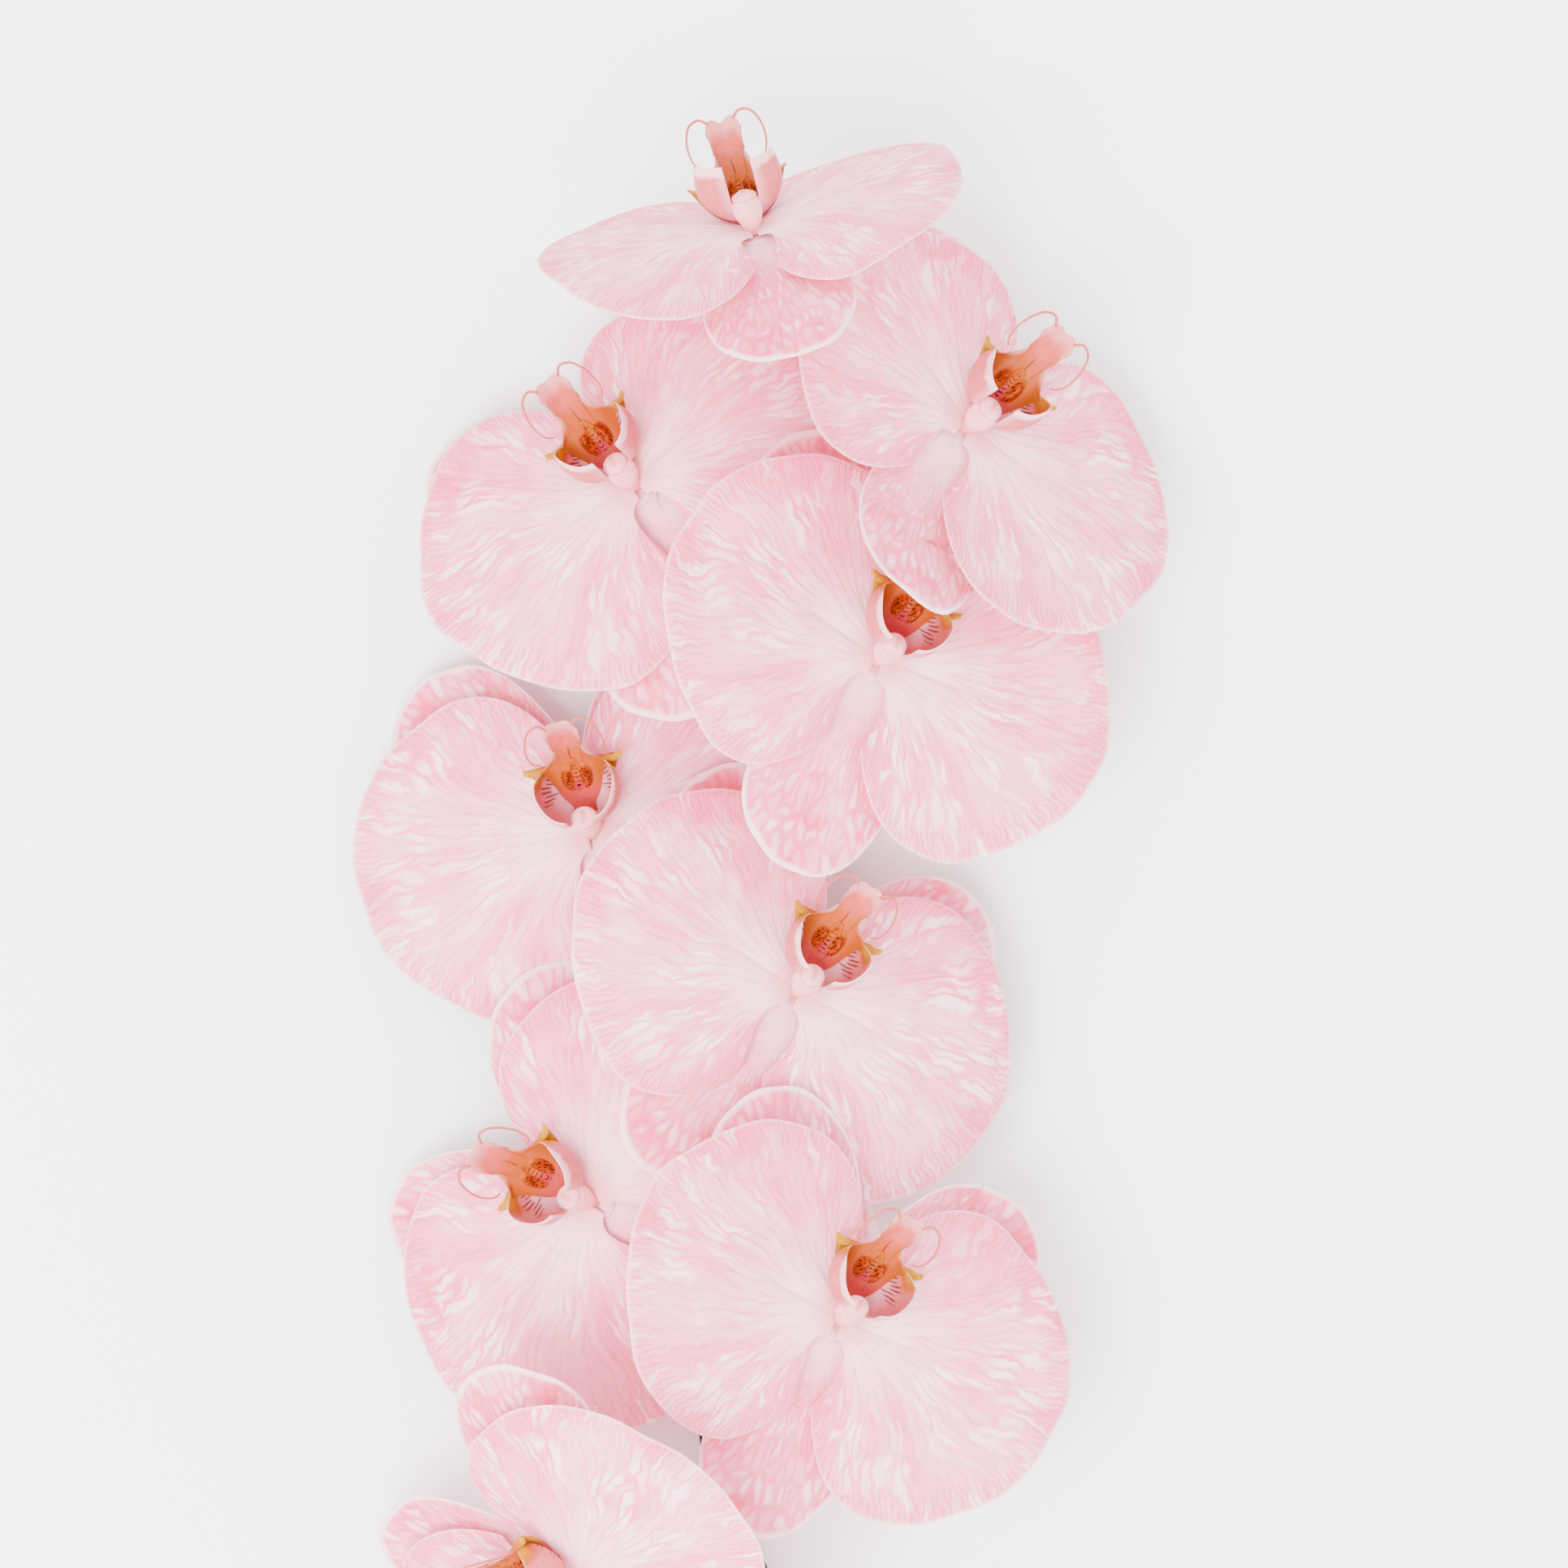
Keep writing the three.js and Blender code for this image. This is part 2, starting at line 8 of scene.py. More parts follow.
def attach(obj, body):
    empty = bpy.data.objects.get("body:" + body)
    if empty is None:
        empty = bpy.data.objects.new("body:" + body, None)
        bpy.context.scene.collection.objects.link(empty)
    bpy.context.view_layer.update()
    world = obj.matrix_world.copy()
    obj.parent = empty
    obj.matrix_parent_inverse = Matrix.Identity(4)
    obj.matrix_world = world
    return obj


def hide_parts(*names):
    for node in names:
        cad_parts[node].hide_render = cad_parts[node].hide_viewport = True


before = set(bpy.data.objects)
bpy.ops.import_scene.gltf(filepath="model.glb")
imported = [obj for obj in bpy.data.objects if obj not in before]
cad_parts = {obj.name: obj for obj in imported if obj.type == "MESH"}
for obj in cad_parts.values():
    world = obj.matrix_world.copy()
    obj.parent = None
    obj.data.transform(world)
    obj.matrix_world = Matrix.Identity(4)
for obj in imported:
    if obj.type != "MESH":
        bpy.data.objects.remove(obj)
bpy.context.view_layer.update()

# A cut moth orchid stem with nine open blooms, lying on a pale surface and seen from straight above.
# Lengths are in millimetres up to where a mesh is made. A bloom's own frame has its zero where the
# petals meet, +Z along its face and +Y towards its lip.

MM = 0.001

# The blooms. at is where the petals meet, knot where the stalk leaves the stem, lean the angle between
# the face and straight up, toward the plan direction it leans, lip the plan direction of its lip, turn
# the swing of the dorsal sepal and sweep that of the petals. droop bends a side back, in mm at
# BEND_REACH, and reach gives a petal's length as a share of the usual one.
BLOOMS = [
    dict(name="bloom1", at=(-7, 128, 61), knot=98, lean=71, toward=105, lip=107,
         reach=dict(left=0.86, right=0.86), droop=dict(dorsal=6, left=-3)),
    dict(name="bloom2", at=(-35, 70, 30.5), knot=66, lean=31, toward=137, lip=129, turn=-30, sweep=4,
         reach=dict(left=0.96, right=0.83), droop=dict(dorsal=12, lip=-4, left=-2, right=14)),
    dict(name="bloom3", at=(42.5, 83, 43.5), knot=86, lean=38, toward=31, lip=47, turn=14, sweep=8,
         reach=dict(left=0.88), droop=dict(dorsal=-14, lip=2, left=3, right=1)),
    dict(name="bloom4", at=(22, 29, 46.5), knot=35, lean=22, toward=22, lip=65, sweep=4,
         droop=dict(dorsal=-3, lip=-6, left=-5)),
    dict(name="bloom5", at=(-45, -11, 22.5), knot=-5, lean=9, toward=154, lip=102, turn=3,
         droop=dict(dorsal=12, lip=-5, left=9, right=12)),
    dict(name="bloom6", at=(3, -48, 40.5), knot=-46, lean=21, toward=27, lip=61, turn=-11,
         droop=dict(dorsal=3, lip=-2, left=-1, right=9)),
    dict(name="bloom7", at=(-45, -97, 32.5), knot=-88, lean=24, toward=190, lip=149, turn=20,
         reach=dict(left=1.06), droop=dict(dorsal=34, lip=-7, left=6, right=12)),
    dict(name="bloom8", at=(13, -124, 52.5), knot=-128, lean=22, toward=11, lip=65,
         droop=dict(lip=-4, left=-4)),
    dict(name="bloom9", at=(-48, -184, 46), knot=-160, lean=46, toward=239, lip=150),
]
USUAL = dict(turn=0, sweep=0, reach={}, droop={})
BLOOMS = [{**USUAL, **bloom} for bloom in BLOOMS]
BEND_REACH = 50

PETAL = dict(length=58.5, lip_side=36, dorsal_side=39, widest=0.49, flare=0.18, open=0.5, root=1.0,
             claw_half=4.6, rise=0.2, fall=9, curl=3.2, ripple=0.9, waves=3, left_phase=2, wobble=0.035,
             sway=0.35)
SEPAL = dict(root=0.6, drop=2.1, seat=0.55, seat_reach=7.0, wobble=0.03, sway=0.3)
LATERAL = dict(length=56, half=17.5, claw_half=2.4, flare=0.35, open=1.0, axis=46, slope=0.07, fall=3,
               curl=2.2)
DORSAL = dict(length=54, half=17.5, claw_half=6.5, flare=0.2, open=0.4, axis=-90, slope=0.05, fall=3,
              curl=2.2)
HUB = dict(radius=5.6, top=-0.9, bottom=-3.2, sides=28)
VEIN = dict(along=0.11, out=0.3, across=0.25)
COLUMN_RINGS = [
    (-0.4, 0, 2.0, 2.0), (1.4, 0.2, 2.1, 2.1), (3.6, 1.1, 3.0, 2.6),
    (6.2, 2.2, 3.4, 2.9), (8.2, 2.8, 3.0, 2.6), (9.3, 3.0, 1.5, 1.4),
]
# The middle lobe's half outline runs from the notch round the wing to the tip. run is measured along it
# from the foot, and bend and arch turn it up towards its tip.
MIDLOBE = dict(half=[(4.0, 15.8), (13.0, 17.6), (6.8, 19.8), (4.1, 21.8), (3.1, 24.5), (4.3, 28.2),
                     (3.2, 29.4), (0, 28.0)],
               foot=2.6, foot_half=1.6, rise=0.3, arch=0.0195, bend=0.0055, wing_drop=1.4, wing=11.4)
SIDE_LOBE = dict(foot=2.4, foot_from=12, foot_to=8, foot_low=0.7, foot_high=2.6, centre=(1.8, 9.2),
                 radius=6.6, start=44, sweep=122, low=9.5, high=16.5, crest=0.5, cup=1.8, cup_rise=3.0)
TENDRIL = dict(path=[(3.0, 23.2, 20.7), (4.8, 24.4, 21.9), (7.2, 23.4, 21.6), (8.8, 20.8, 19.4),
                     (9.2, 18.2, 16.2), (8.4, 16.6, 13.4), (7.2, 16.4, 11.8)], radius=0.36)
CALLUS = dict(centre=(0.0, 13.2), half=(4.4, 4.0), knob=(2.2, 12.1), knob_half=(1.05, 2.0), knob_high=3.6)

STEM_ROUTE = [
    (31, -480, 3.1), (30, -420, 3.1), (29, -360, 3.0), (26, -300, 3.0), (18, -250, 3.2), (5, -210, 4.4),
    (-11, -173, 4.5), (-18, -150, 5), (-17, -110, 5), (-16, -60, 5), (-14, -6, 5), (-12, 32, 5.5),
    (-6, 60, 8.5), (2.5, 75, 12.5), (11.3, 85, 19), (11.5, 91, 26), (10, 98, 35),
]
STEM = dict(bottom=3.15, top=1.55, swell=0.28, reach=5)
BARE_KNOTS = [-222, -290, -365, -440]
ALL_KNOTS = np.array([bloom["knot"] for bloom in BLOOMS] + BARE_KNOTS)
BRACT = dict(length=5, half=2, below=6.5, bare_length=15, bare_half=4.2, sunk=0.85, lift=1, slant=0.35,
             taper=0.75)
STALK = dict(radius=1.35, ovary=2.1, swollen_from=0.62, leave=9, arrive=11, sunk=0.6, tip_share=0.999)

# Width of the plan square that the second texture map spans, centred on the bloom
PLAN = 120.0


# Mesh making

def signed_volume(points, faces):
    a, b, c, d = [points[faces[:, k]] for k in range(4)]
    return np.einsum("ij,ij->i", a, np.cross(b, c) + np.cross(c, d)).sum()


def closed_part(points, faces, fan, material=0):
    """Points, outward quads, the fan's texture map and each face's material number."""
    if signed_volume(points, faces) < 0:
        faces = faces[:, ::-1]
    return dict(points=points, faces=faces, fan=fan, number=np.full(len(faces), material))


def grid_quads(rows, columns, first=0, wrap=False):
    """Quads over a grid of rows + 1 by columns + 1 points, or by columns points that close on themselves."""
    width = columns if wrap else columns + 1
    i, j = np.meshgrid(np.arange(rows), np.arange(columns), indexing="ij")
    across = (j + 1) % width if wrap else j + 1
    quads = [i * width + j, i * width + across, (i + 1) * width + across, (i + 1) * width + j]
    return first + np.stack([corner.ravel() for corner in quads], axis=1)


def cap(base, sides, centre):
    """Faces from a ring of points to the point centre, as quads with a double corner."""
    j = np.arange(sides)
    middle = np.full(sides, centre)
    return np.stack([base + j, base + (j + 1) % sides, middle, middle], axis=1)


def under_cap(base, sides, centre):
    """The same faces, turned the other way."""
    return cap(base, sides, centre)[:, [1, 0, 2, 3]]


def capped_tube(rings, sides):
    """Faces of a closed tube: its rings of points, then its first and its last end point."""
    last_ring = (rings - 1) * sides
    ends = rings * sides
    return np.concatenate([grid_quads(rings - 1, sides, wrap=True), under_cap(0, sides, ends),
                           cap(last_ring, sides, ends + 1)])


def circle(sides):
    return np.arange(sides) / sides * 2 * math.pi


def unit(vectors):
    size = np.linalg.norm(vectors, axis=-1, keepdims=True)
    return vectors / np.maximum(size, 1e-9)


def blade(surface, rows, columns, root_half, rim_half, material=0):
    """A thin closed sheet on surface(s, t), thinner towards its rounded margin."""
    s, t = np.meshgrid(np.linspace(0, 1, rows + 1), np.linspace(-1, 1, columns + 1), indexing="ij")
    centre = surface(s, t)
    normal = unit(np.cross(np.gradient(centre, axis=1), np.gradient(centre, axis=0)))
    edge = np.minimum(np.minimum(1 - s, 1 - np.abs(t)) * 4, 1)
    half = (rim_half + (root_half - rim_half) * edge * (1 - 0.5 * s))[..., None]
    upper = (centre + normal * half).reshape(-1, 3)
    lower = (centre - normal * half).reshape(-1, 3)
    width = columns + 1
    loop = list(range(width))
    loop += [i * width + columns for i in range(1, rows + 1)]
    loop += [rows * width + j for j in range(columns - 1, -1, -1)]
    loop += [i * width for i in range(rows - 1, 0, -1)]
    loop = np.array(loop)
    row = np.clip(loop // width, 1, rows - 1)
    column = np.clip(loop % width, 1, columns - 1)
    flat = centre.reshape(-1, 3)
    outward = unit(flat[loop] - flat[row * width + column])
    middle = flat[loop] + outward * half.reshape(-1, 1)[loop] * 0.8
    count = len(flat)
    ring = 2 * count + np.arange(len(loop))
    next_loop, next_ring = np.roll(loop, -1), np.roll(ring, -1)
    quads = grid_quads(rows, columns)
    faces = np.concatenate([
        quads,
        count + quads[:, ::-1],
        np.stack([next_loop, loop, ring, next_ring], axis=1),
        np.stack([next_ring, ring, count + loop, count + next_loop], axis=1),
    ])
    points = np.concatenate([upper, lower, middle])
    fan = np.stack([(t.ravel() + 1) / 2, s.ravel()], axis=1)
    fan = np.concatenate([fan, fan, fan[loop]])
    return closed_part(points, faces, fan, material)


def transported_frames(path):
    """Two normals along a path, turned as little as possible."""
    tangent = unit(np.gradient(path, axis=0))
    start = np.cross(tangent[0], (0.0, 0.0, 1.0))
    if np.linalg.norm(start) < 1e-3:
        start = np.array((1.0, 0.0, 0.0))
    side = [unit(start)]
    for direction in tangent[1:]:
        kept = side[-1] - direction * np.dot(side[-1], direction)
        side.append(unit(kept))
    side = np.array(side)
    return side, np.cross(side, tangent)


def tube(path, radius, sides, ribs=None, material=0, end_material=None):
    """A closed tube along a path. ribs gives a factor of the radius from the angle and the share."""
    side, rise = transported_frames(path)
    share = arc_shares(path)
    around, along = np.meshgrid(circle(sides), share)
    width = radius[:, None] * np.ones_like(around)
    if ribs is not None:
        width = width * ribs(around, along)
    rings = path[:, None] + side[:, None] * (width * np.cos(around))[..., None]
    rings = rings + rise[:, None] * (width * np.sin(around))[..., None]
    points = np.concatenate([rings.reshape(-1, 3), path[:1], path[-1:]])
    fan = np.stack([(around / (2 * math.pi)).ravel(), along.ravel()], axis=1)
    fan = np.concatenate([fan, [[0.5, 0.0], [0.5, 1.0]]])
    part = closed_part(points, capped_tube(len(path), sides), fan, material)
    if end_material is not None:
        side_faces = (len(path) - 1) * sides
        part["number"][side_faces:side_faces + sides] = end_material
    return part


def arc_shares(path):
    steps = np.linalg.norm(np.diff(path, axis=0), axis=1)
    total = np.concatenate([[0.0], np.cumsum(steps)])
    return total / total[-1]


def resampled(path, count):
    share = arc_shares(path)
    wanted = np.linspace(0, 1, count)
    return np.stack([np.interp(wanted, share, path[:, axis]) for axis in range(3)], axis=1)


def catmull_rom(points, per_span=24):
    """Centripetal Catmull-Rom curve through the points."""
    knots = np.array(points, float)
    padded = np.concatenate([[2 * knots[0] - knots[1]], knots, [2 * knots[-1] - knots[-2]]])
    share = np.linspace(0, 1, per_span, endpoint=False)[:, None]
    spans = []
    for i in range(len(knots) - 1):
        p0, p1, p2, p3 = padded[i:i + 4]
        d0, d1, d2 = [math.sqrt(np.linalg.norm(b - a)) for a, b in ((p0, p1), (p1, p2), (p2, p3))]
        first = ((p1 - p0) / d0 - (p2 - p0) / (d0 + d1) + (p2 - p1) / d1) * d1
        second = ((p2 - p1) / d1 - (p3 - p1) / (d1 + d2) + (p3 - p2) / d2) * d1
        cubic = 2 * p1 - 2 * p2 + first + second
        square = -3 * p1 + 3 * p2 - 2 * first - second
        spans.append(p1 + first * share + square * share ** 2 + cubic * share ** 3)
    return np.concatenate(spans + [knots[-1:]])


def make_piece(node, parts, turn, materials):
    """One smooth object of closed parts, in place, standing for a CAD node."""
    name = node + "_fine"
    first_points = np.cumsum([0] + [len(part["points"]) for part in parts])
    faces = np.concatenate([part["faces"] + first for part, first in zip(parts, first_points)])
    points, fans, numbers = [np.concatenate([part[key] for part in parts])
                             for key in ("points", "fan", "number")]
    plans = points[:, :2] / PLAN + 0.5
    matrix = np.array(turn)
    placed = (points @ matrix[:3, :3].T + matrix[:3, 3]) * MM
    mesh = bpy.data.meshes.new(name)
    polygons = [[corner for k, corner in enumerate(face) if corner not in face[:k]]
                for face in faces.tolist()]
    mesh.from_pydata(placed.tolist(), [], polygons)
    mesh.polygons.foreach_set("material_index", numbers.astype(np.int32))
    mesh.polygons.foreach_set("use_smooth", np.ones(len(mesh.polygons), bool))
    corners = np.empty(len(mesh.loops), np.int32)
    mesh.loops.foreach_get("vertex_index", corners)
    for layer_name, values in (("fan", fans), ("plan", plans)):
        layer = mesh.uv_layers.new(name=layer_name)
        layer.data.foreach_set("uv", values[corners].astype(np.float32).ravel())
    for material in materials:
        mesh.materials.append(material)
    mesh.update()
    piece = bpy.data.objects.new(name, mesh)
    bpy.context.scene.collection.objects.link(piece)
    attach(piece, "root")
    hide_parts(node)
    return piece


# Shapes of the bloom

def bloom_turn(bloom, shift):
    turn = Matrix.Rotation(math.radians(bloom["toward"]), 4, "Z")
    turn = turn @ Matrix.Rotation(math.radians(bloom["lean"]), 4, "Y")
    turn = turn @ Matrix.Rotation(math.radians(-bloom["toward"]), 4, "Z")
    turn = turn @ Matrix.Rotation(math.radians(bloom["lip"] - 90), 4, "Z")
    return Matrix.Translation(Vector(bloom["at"]) + shift) @ turn


def bent(x, y, z, droop):
    toward = dict(dorsal=-y, lip=y, right=x, left=-x)
    for side, amount in droop.items():
        z = z - amount * (np.maximum(0, toward[side]) / BEND_REACH) ** 2
    return np.stack([x, y, z], axis=-1)


def swung(u, v, angle):
    """A place in the plan, turned by an angle."""
    return u * math.cos(angle) - v * math.sin(angle), u * math.sin(angle) + v * math.cos(angle)


def on_vein(s, claw, margin, length):
    bend_u = VEIN["along"] * length + VEIN["out"] * margin[0]
    bend_v = VEIN["across"] * margin[1]
    keep = 1 - s
    u = keep * keep * claw[0] + 2 * keep * s * bend_u + s * s * margin[0]
    v = keep * keep * claw[1] + 2 * keep * s * bend_v + s * s * margin[1]
    return u, v


def undulation(seed, s, t, size):
    """Slow waves of a blade, none at its claw."""
    draw = np.random.default_rng(seed)
    height = np.zeros_like(s)
    for order in range(1, 5):
        phase, slant = draw.uniform(0, 2 * math.pi), draw.uniform(-3, 3)
        height += np.sin(order * 2.1 * t * math.pi / 2 + slant * s + phase) / order
    return size * height * s ** 2


def margin_wobble(seed, angle, size):
    draw = np.random.default_rng(seed)
    wobble = np.zeros_like(angle)
    for order in (5, 8, 13):
        wobble += np.sin(order * angle + draw.uniform(0, 2 * math.pi)) / order
    return 1 + size * wobble


def hump(s, pace):
    """Up and down again along a blade, over by s = 1 / pace."""
    return np.sin(math.pi * np.minimum(1, s * pace)) ** 2


def petal(side, bloom, phase, seed):
    form = PETAL
    rounding = form["length"] * (1 - form["widest"])
    swing = math.radians(bloom["sweep"])
    stretch = bloom["reach"].get("right" if side > 0 else "left", 1)

    def surface(s, t):
        angle = t * (math.pi - form["open"])
        half = np.where(t > 0, form["lip_side"], form["dorsal_side"])
        wobble = margin_wobble(seed, angle, form["wobble"])
        margin_u = (form["length"] * form["widest"] + rounding * np.cos(angle)) * wobble
        margin_v = half * np.sin(angle) * (1 - form["flare"] * np.cos(angle)) * wobble
        u, v = on_vein(s, (form["root"], form["claw_half"] * t), (margin_u, margin_v), form["length"])
        arch = form["rise"] * u - form["fall"] * (u / form["length"]) ** 2
        curl = form["curl"] * (v / form["lip_side"]) ** 2
        wave = form["ripple"] * s ** 3 * np.sin(form["waves"] * angle + phase)
        fold = 0.9 * np.exp(-((t - 0.04) / 0.1) ** 2) * hump(s, 1.5)
        shoulder = 0.5 * np.exp(-((np.abs(t) - 0.45) / 0.16) ** 2) * hump(s, 2)
        x, y = swung(stretch * u, v, swing)
        z = arch - curl + wave + undulation(seed, s, t, form["sway"]) - fold + shoulder
        return bent(side * x, y, z, bloom["droop"])

    return blade(surface, 34, 76, 0.38, 0.14)


def sepal(form, side, bloom, turn, seed):
    axis = math.radians(form["axis"] + turn)
    middle = form["length"] / 2

    def surface(s, t):
        angle = t * (math.pi - form["open"])
        wobble = margin_wobble(seed, angle, SEPAL["wobble"])
        margin_u = (middle + middle * np.cos(angle)) * wobble
        margin_v = form["half"] * np.sin(angle) * (1 + form["flare"] * np.cos(angle)) * wobble
        u, v = on_vein(s, (SEPAL["root"], form["claw_half"] * t), (margin_u, margin_v), form["length"])
        curl = form["curl"] * (v / form["half"]) ** 2
        seated = 1 - SEPAL["seat"] * np.exp(-(u / SEPAL["seat_reach"]) ** 2)
        back = SEPAL["drop"] * seated + form["slope"] * u + form["fall"] * (u / form["length"]) ** 2 + curl
        keel = 0.6 * np.exp(-(v / 1.6) ** 2) * np.sin(math.pi * np.clip(u / form["length"], 0, 1))
        x, y = swung(u, v, axis)
        z = -back - keel + undulation(seed, s, t, SEPAL["sway"])
        return bent(side * x, y, z, bloom["droop"])

    return blade(surface, 26, 50, 0.4, 0.15)


def hub():
    """The round base behind the petals that the sepals grow from."""
    radius, top, bottom, sides = HUB.values()
    profile = [(radius * 0.5, top), (radius * 0.85, top - 0.15), (radius, top - 0.7),
               (radius * 0.95, bottom + 0.8), (radius * 0.7, bottom + 0.1)]
    angle = circle(sides)
    rings = [np.stack([r * np.cos(angle), r * np.sin(angle), np.full(sides, z)], axis=1) for r, z in profile]
    points = np.concatenate(rings + [[(0, 0, top), (0, 0, bottom)]])
    return closed_part(points, capped_tube(len(profile), sides), np.full((len(points), 2), (0.5, 0.02)))


def column():
    """A curved club with a hooded cap, a hollow on the lip's side and two small wings."""
    heights, sides = 36, 32
    rings = np.array(COLUMN_RINGS, float)
    z = np.linspace(rings[0, 0], rings[-1, 0], heights)
    centre, half_width, half_depth = [smooth_interp(z, rings[:, 0], rings[:, k]) for k in (1, 2, 3)]
    top = np.clip((z - 8.0) / 1.3, 0, 1)
    rounding = np.sqrt(np.maximum(0.02, 1 - top ** 2 * 0.75))
    around, height = np.meshgrid(circle(sides), z)
    toward_lip = np.maximum(0, np.sin(around)) ** 3
    hollow = 1 - 0.42 * toward_lip * np.exp(-((height - 5.6) / 1.3) ** 2)
    seam = 1 - 0.07 * np.exp(-((height - 7.5) / 0.25) ** 2)
    wing = np.exp(-((np.abs(np.cos(around)) - 0.95) / 0.12) ** 2) * np.exp(-((height - 4.5) / 2.0) ** 2)
    factor = hollow * seam * (1 + 0.1 * wing) * rounding[:, None]
    x = half_width[:, None] * factor * np.cos(around)
    y = centre[:, None] + half_depth[:, None] * factor * np.sin(around)
    points = np.stack([x, y, height], axis=-1).reshape(-1, 3)
    ends = np.array([[0, centre[0], z[0]], [0, centre[-1] + 0.1, z[-1] + 0.15]])
    faces = capped_tube(heights, sides)
    points = np.concatenate([points, ends])
    share = (points[:, 2] - z[0]) / (z[-1] - z[0])
    turn = np.concatenate([(around / (2 * math.pi)).ravel(), [0.25, 0.25]])
    return closed_part(points, faces, np.stack([turn, share], axis=1))


def softened(values, reach):
    """Running mean over reach samples, with the ends held."""
    padded = np.pad(values, reach // 2, mode="edge")
    return np.convolve(padded, np.ones(reach) / reach, mode="valid")


def smooth_interp(x, knots, values):
    """Interpolation between knots, with its corners softened."""
    fine = np.linspace(knots[0], knots[-1], 400)
    return np.interp(x, fine, softened(np.interp(fine, knots, values), 31))


def lobe_height(x, run):
    rise = MIDLOBE["rise"] * run + MIDLOBE["arch"] * run * run
    return rise - MIDLOBE["wing_drop"] * (x / MIDLOBE["wing"]) ** 2


def lobe_run(y):
    """How far along the middle lobe a point of the bloom's plan lies."""
    bend = MIDLOBE["bend"]
    return (1 - np.sqrt(1 - 4 * bend * (y - MIDLOBE["foot"]))) / (2 * bend)


def middle_lobe():
    """A tongue that turns up to its forked tip, with a pointed wing each side."""
    right = np.array(MIDLOBE["half"], float)
    outline = np.concatenate([right * (-1, 1), right[:-1][::-1]])
    share = np.linspace(0, 1, len(outline))
    dense = np.linspace(0, 1, 401)
    margin_x, margin_y = [softened(np.interp(dense, share, outline[:, axis]), 15) for axis in (0, 1)]

    def surface(s, t):
        place = (t + 1) / 2
        px = MIDLOBE["foot_half"] * t * (1 - s) + np.interp(place, dense, margin_x) * s
        run = (np.interp(place, dense, margin_y) - MIDLOBE["foot"]) * s
        tongue = np.clip((run - 15) / 6, 0, 1)
        wing = np.clip((np.abs(px) - 4.5) / 7, 0, 1)
        fold = 0.17 * tongue * px ** 2
        groove = 0.6 * np.exp(-(px / 1.1) ** 2) * s
        lift = 1.6 * wing ** 2 - 1.1 * np.sin(math.pi * wing)
        height = lobe_height(px, run) - groove + lift - 0.35 * fold
        py = MIDLOBE["foot"] + run * (1 - MIDLOBE["bend"] * run)
        return np.stack([px, py - fold, height], axis=-1)

    return blade(surface, 26, 60, 0.36, 0.16)


def side_lobe(side):
    """Upright side lobe, cupped round the column, with a thin rim that turns out."""
    form = SIDE_LOBE

    def surface(s, t):
        share = (t + 1) / 2
        angle = np.radians(form["start"] - form["sweep"] * share)
        foot_y = form["foot_from"] + (form["foot_to"] - form["foot_from"]) * share
        foot_z = form["foot_high"] + (form["foot_low"] - form["foot_high"]) * share
        foot = np.stack([np.full_like(s, form["foot"]), foot_y, foot_z], axis=-1)
        rim_x = form["centre"][0] + form["radius"] * np.cos(angle)
        rim_y = form["centre"][1] + form["radius"] * np.sin(angle)
        climb = np.sin(math.pi / 2 * np.minimum(1, share / form["crest"]))
        rim_z = form["low"] + (form["high"] - form["low"]) * climb
        rim = np.stack([rim_x, rim_y, rim_z], axis=-1)
        cup = foot + (rim - foot) * form["cup"]
        cup[..., 2] = foot_z + form["cup_rise"]
        keep = (1 - s)[..., None]
        grown = s[..., None]
        point = foot * keep * keep + cup * 2 * keep * grown + rim * grown * grown
        out = np.stack([np.cos(angle), np.sin(angle), np.zeros_like(angle)], axis=-1)
        turned = 1.1 * s ** 6 + 0.3 * s ** 2 * np.sin(7 * share + 1)
        point = point + out * turned[..., None]
        point[..., 0] *= side
        return point

    return blade(surface, 20, 36, 0.36, 0.14, material=1)


def callus():
    """Two warty knobs and the low ridges that run from them to the tip."""
    rings, sides = 22, 56
    share, angle = np.meshgrid(np.linspace(0, 1, rings), circle(sides), indexing="ij")
    centre, half, knob, knob_half = [CALLUS[key] for key in ("centre", "half", "knob", "knob_half")]
    x = centre[0] + half[0] * share * np.cos(angle)
    y = centre[1] + half[1] * share * np.sin(angle)
    away = ((np.abs(x) - knob[0]) / knob_half[0]) ** 2 + ((y - knob[1]) / knob_half[1]) ** 2
    knobs = CALLUS["knob_high"] * np.exp(-away)
    saddle = 0.6 * np.exp(-((x / 0.9) ** 2 + ((y - 12.2) / 1.5) ** 2))
    arm = np.abs(np.abs(x) - (17.2 - y) * 0.42)
    ridge = 0.9 * np.exp(-(arm / 0.42) ** 2) * np.clip((17.4 - y) / 1.5, 0, 1) * (y > 11.5)
    warts = 0.16 * np.sin(x * 6.3 + 1) * np.sin(y * 6.9 + 2) + 0.1 * np.sin(x * 11 + y * 9)
    skirt = np.clip((share - 0.8) / 0.2, 0, 1) ** 2 * 1.6
    z = lobe_height(x, lobe_run(y)) + 0.25 + knobs + saddle + ridge + warts * np.clip(knobs, 0, 1) - skirt
    top = np.stack([x, y, z], axis=-1).reshape(-1, 3)[sides - 1:]
    top[0] = (centre[0], centre[1], z[0, 0])
    below = np.array([[centre[0], centre[1], lobe_height(0.0, lobe_run(centre[1])) - 1.2]])
    points = np.concatenate([top, below])
    last_ring = 1 + (rings - 2) * sides
    faces = np.concatenate([grid_quads(rings - 2, sides, first=1, wrap=True), under_cap(1, sides, 0),
                            cap(last_ring, sides, len(points) - 1)])
    return closed_part(points, faces, points[:, :2] / PLAN + 0.5, material=2)


def tendril(side):
    path = resampled(catmull_rom(np.array(TENDRIL["path"]) * (side, 1, 1)), 48)
    radius = TENDRIL["radius"] * (1 - 0.45 * np.linspace(0, 1, len(path)))
    return tube(path, radius, 10, material=3)


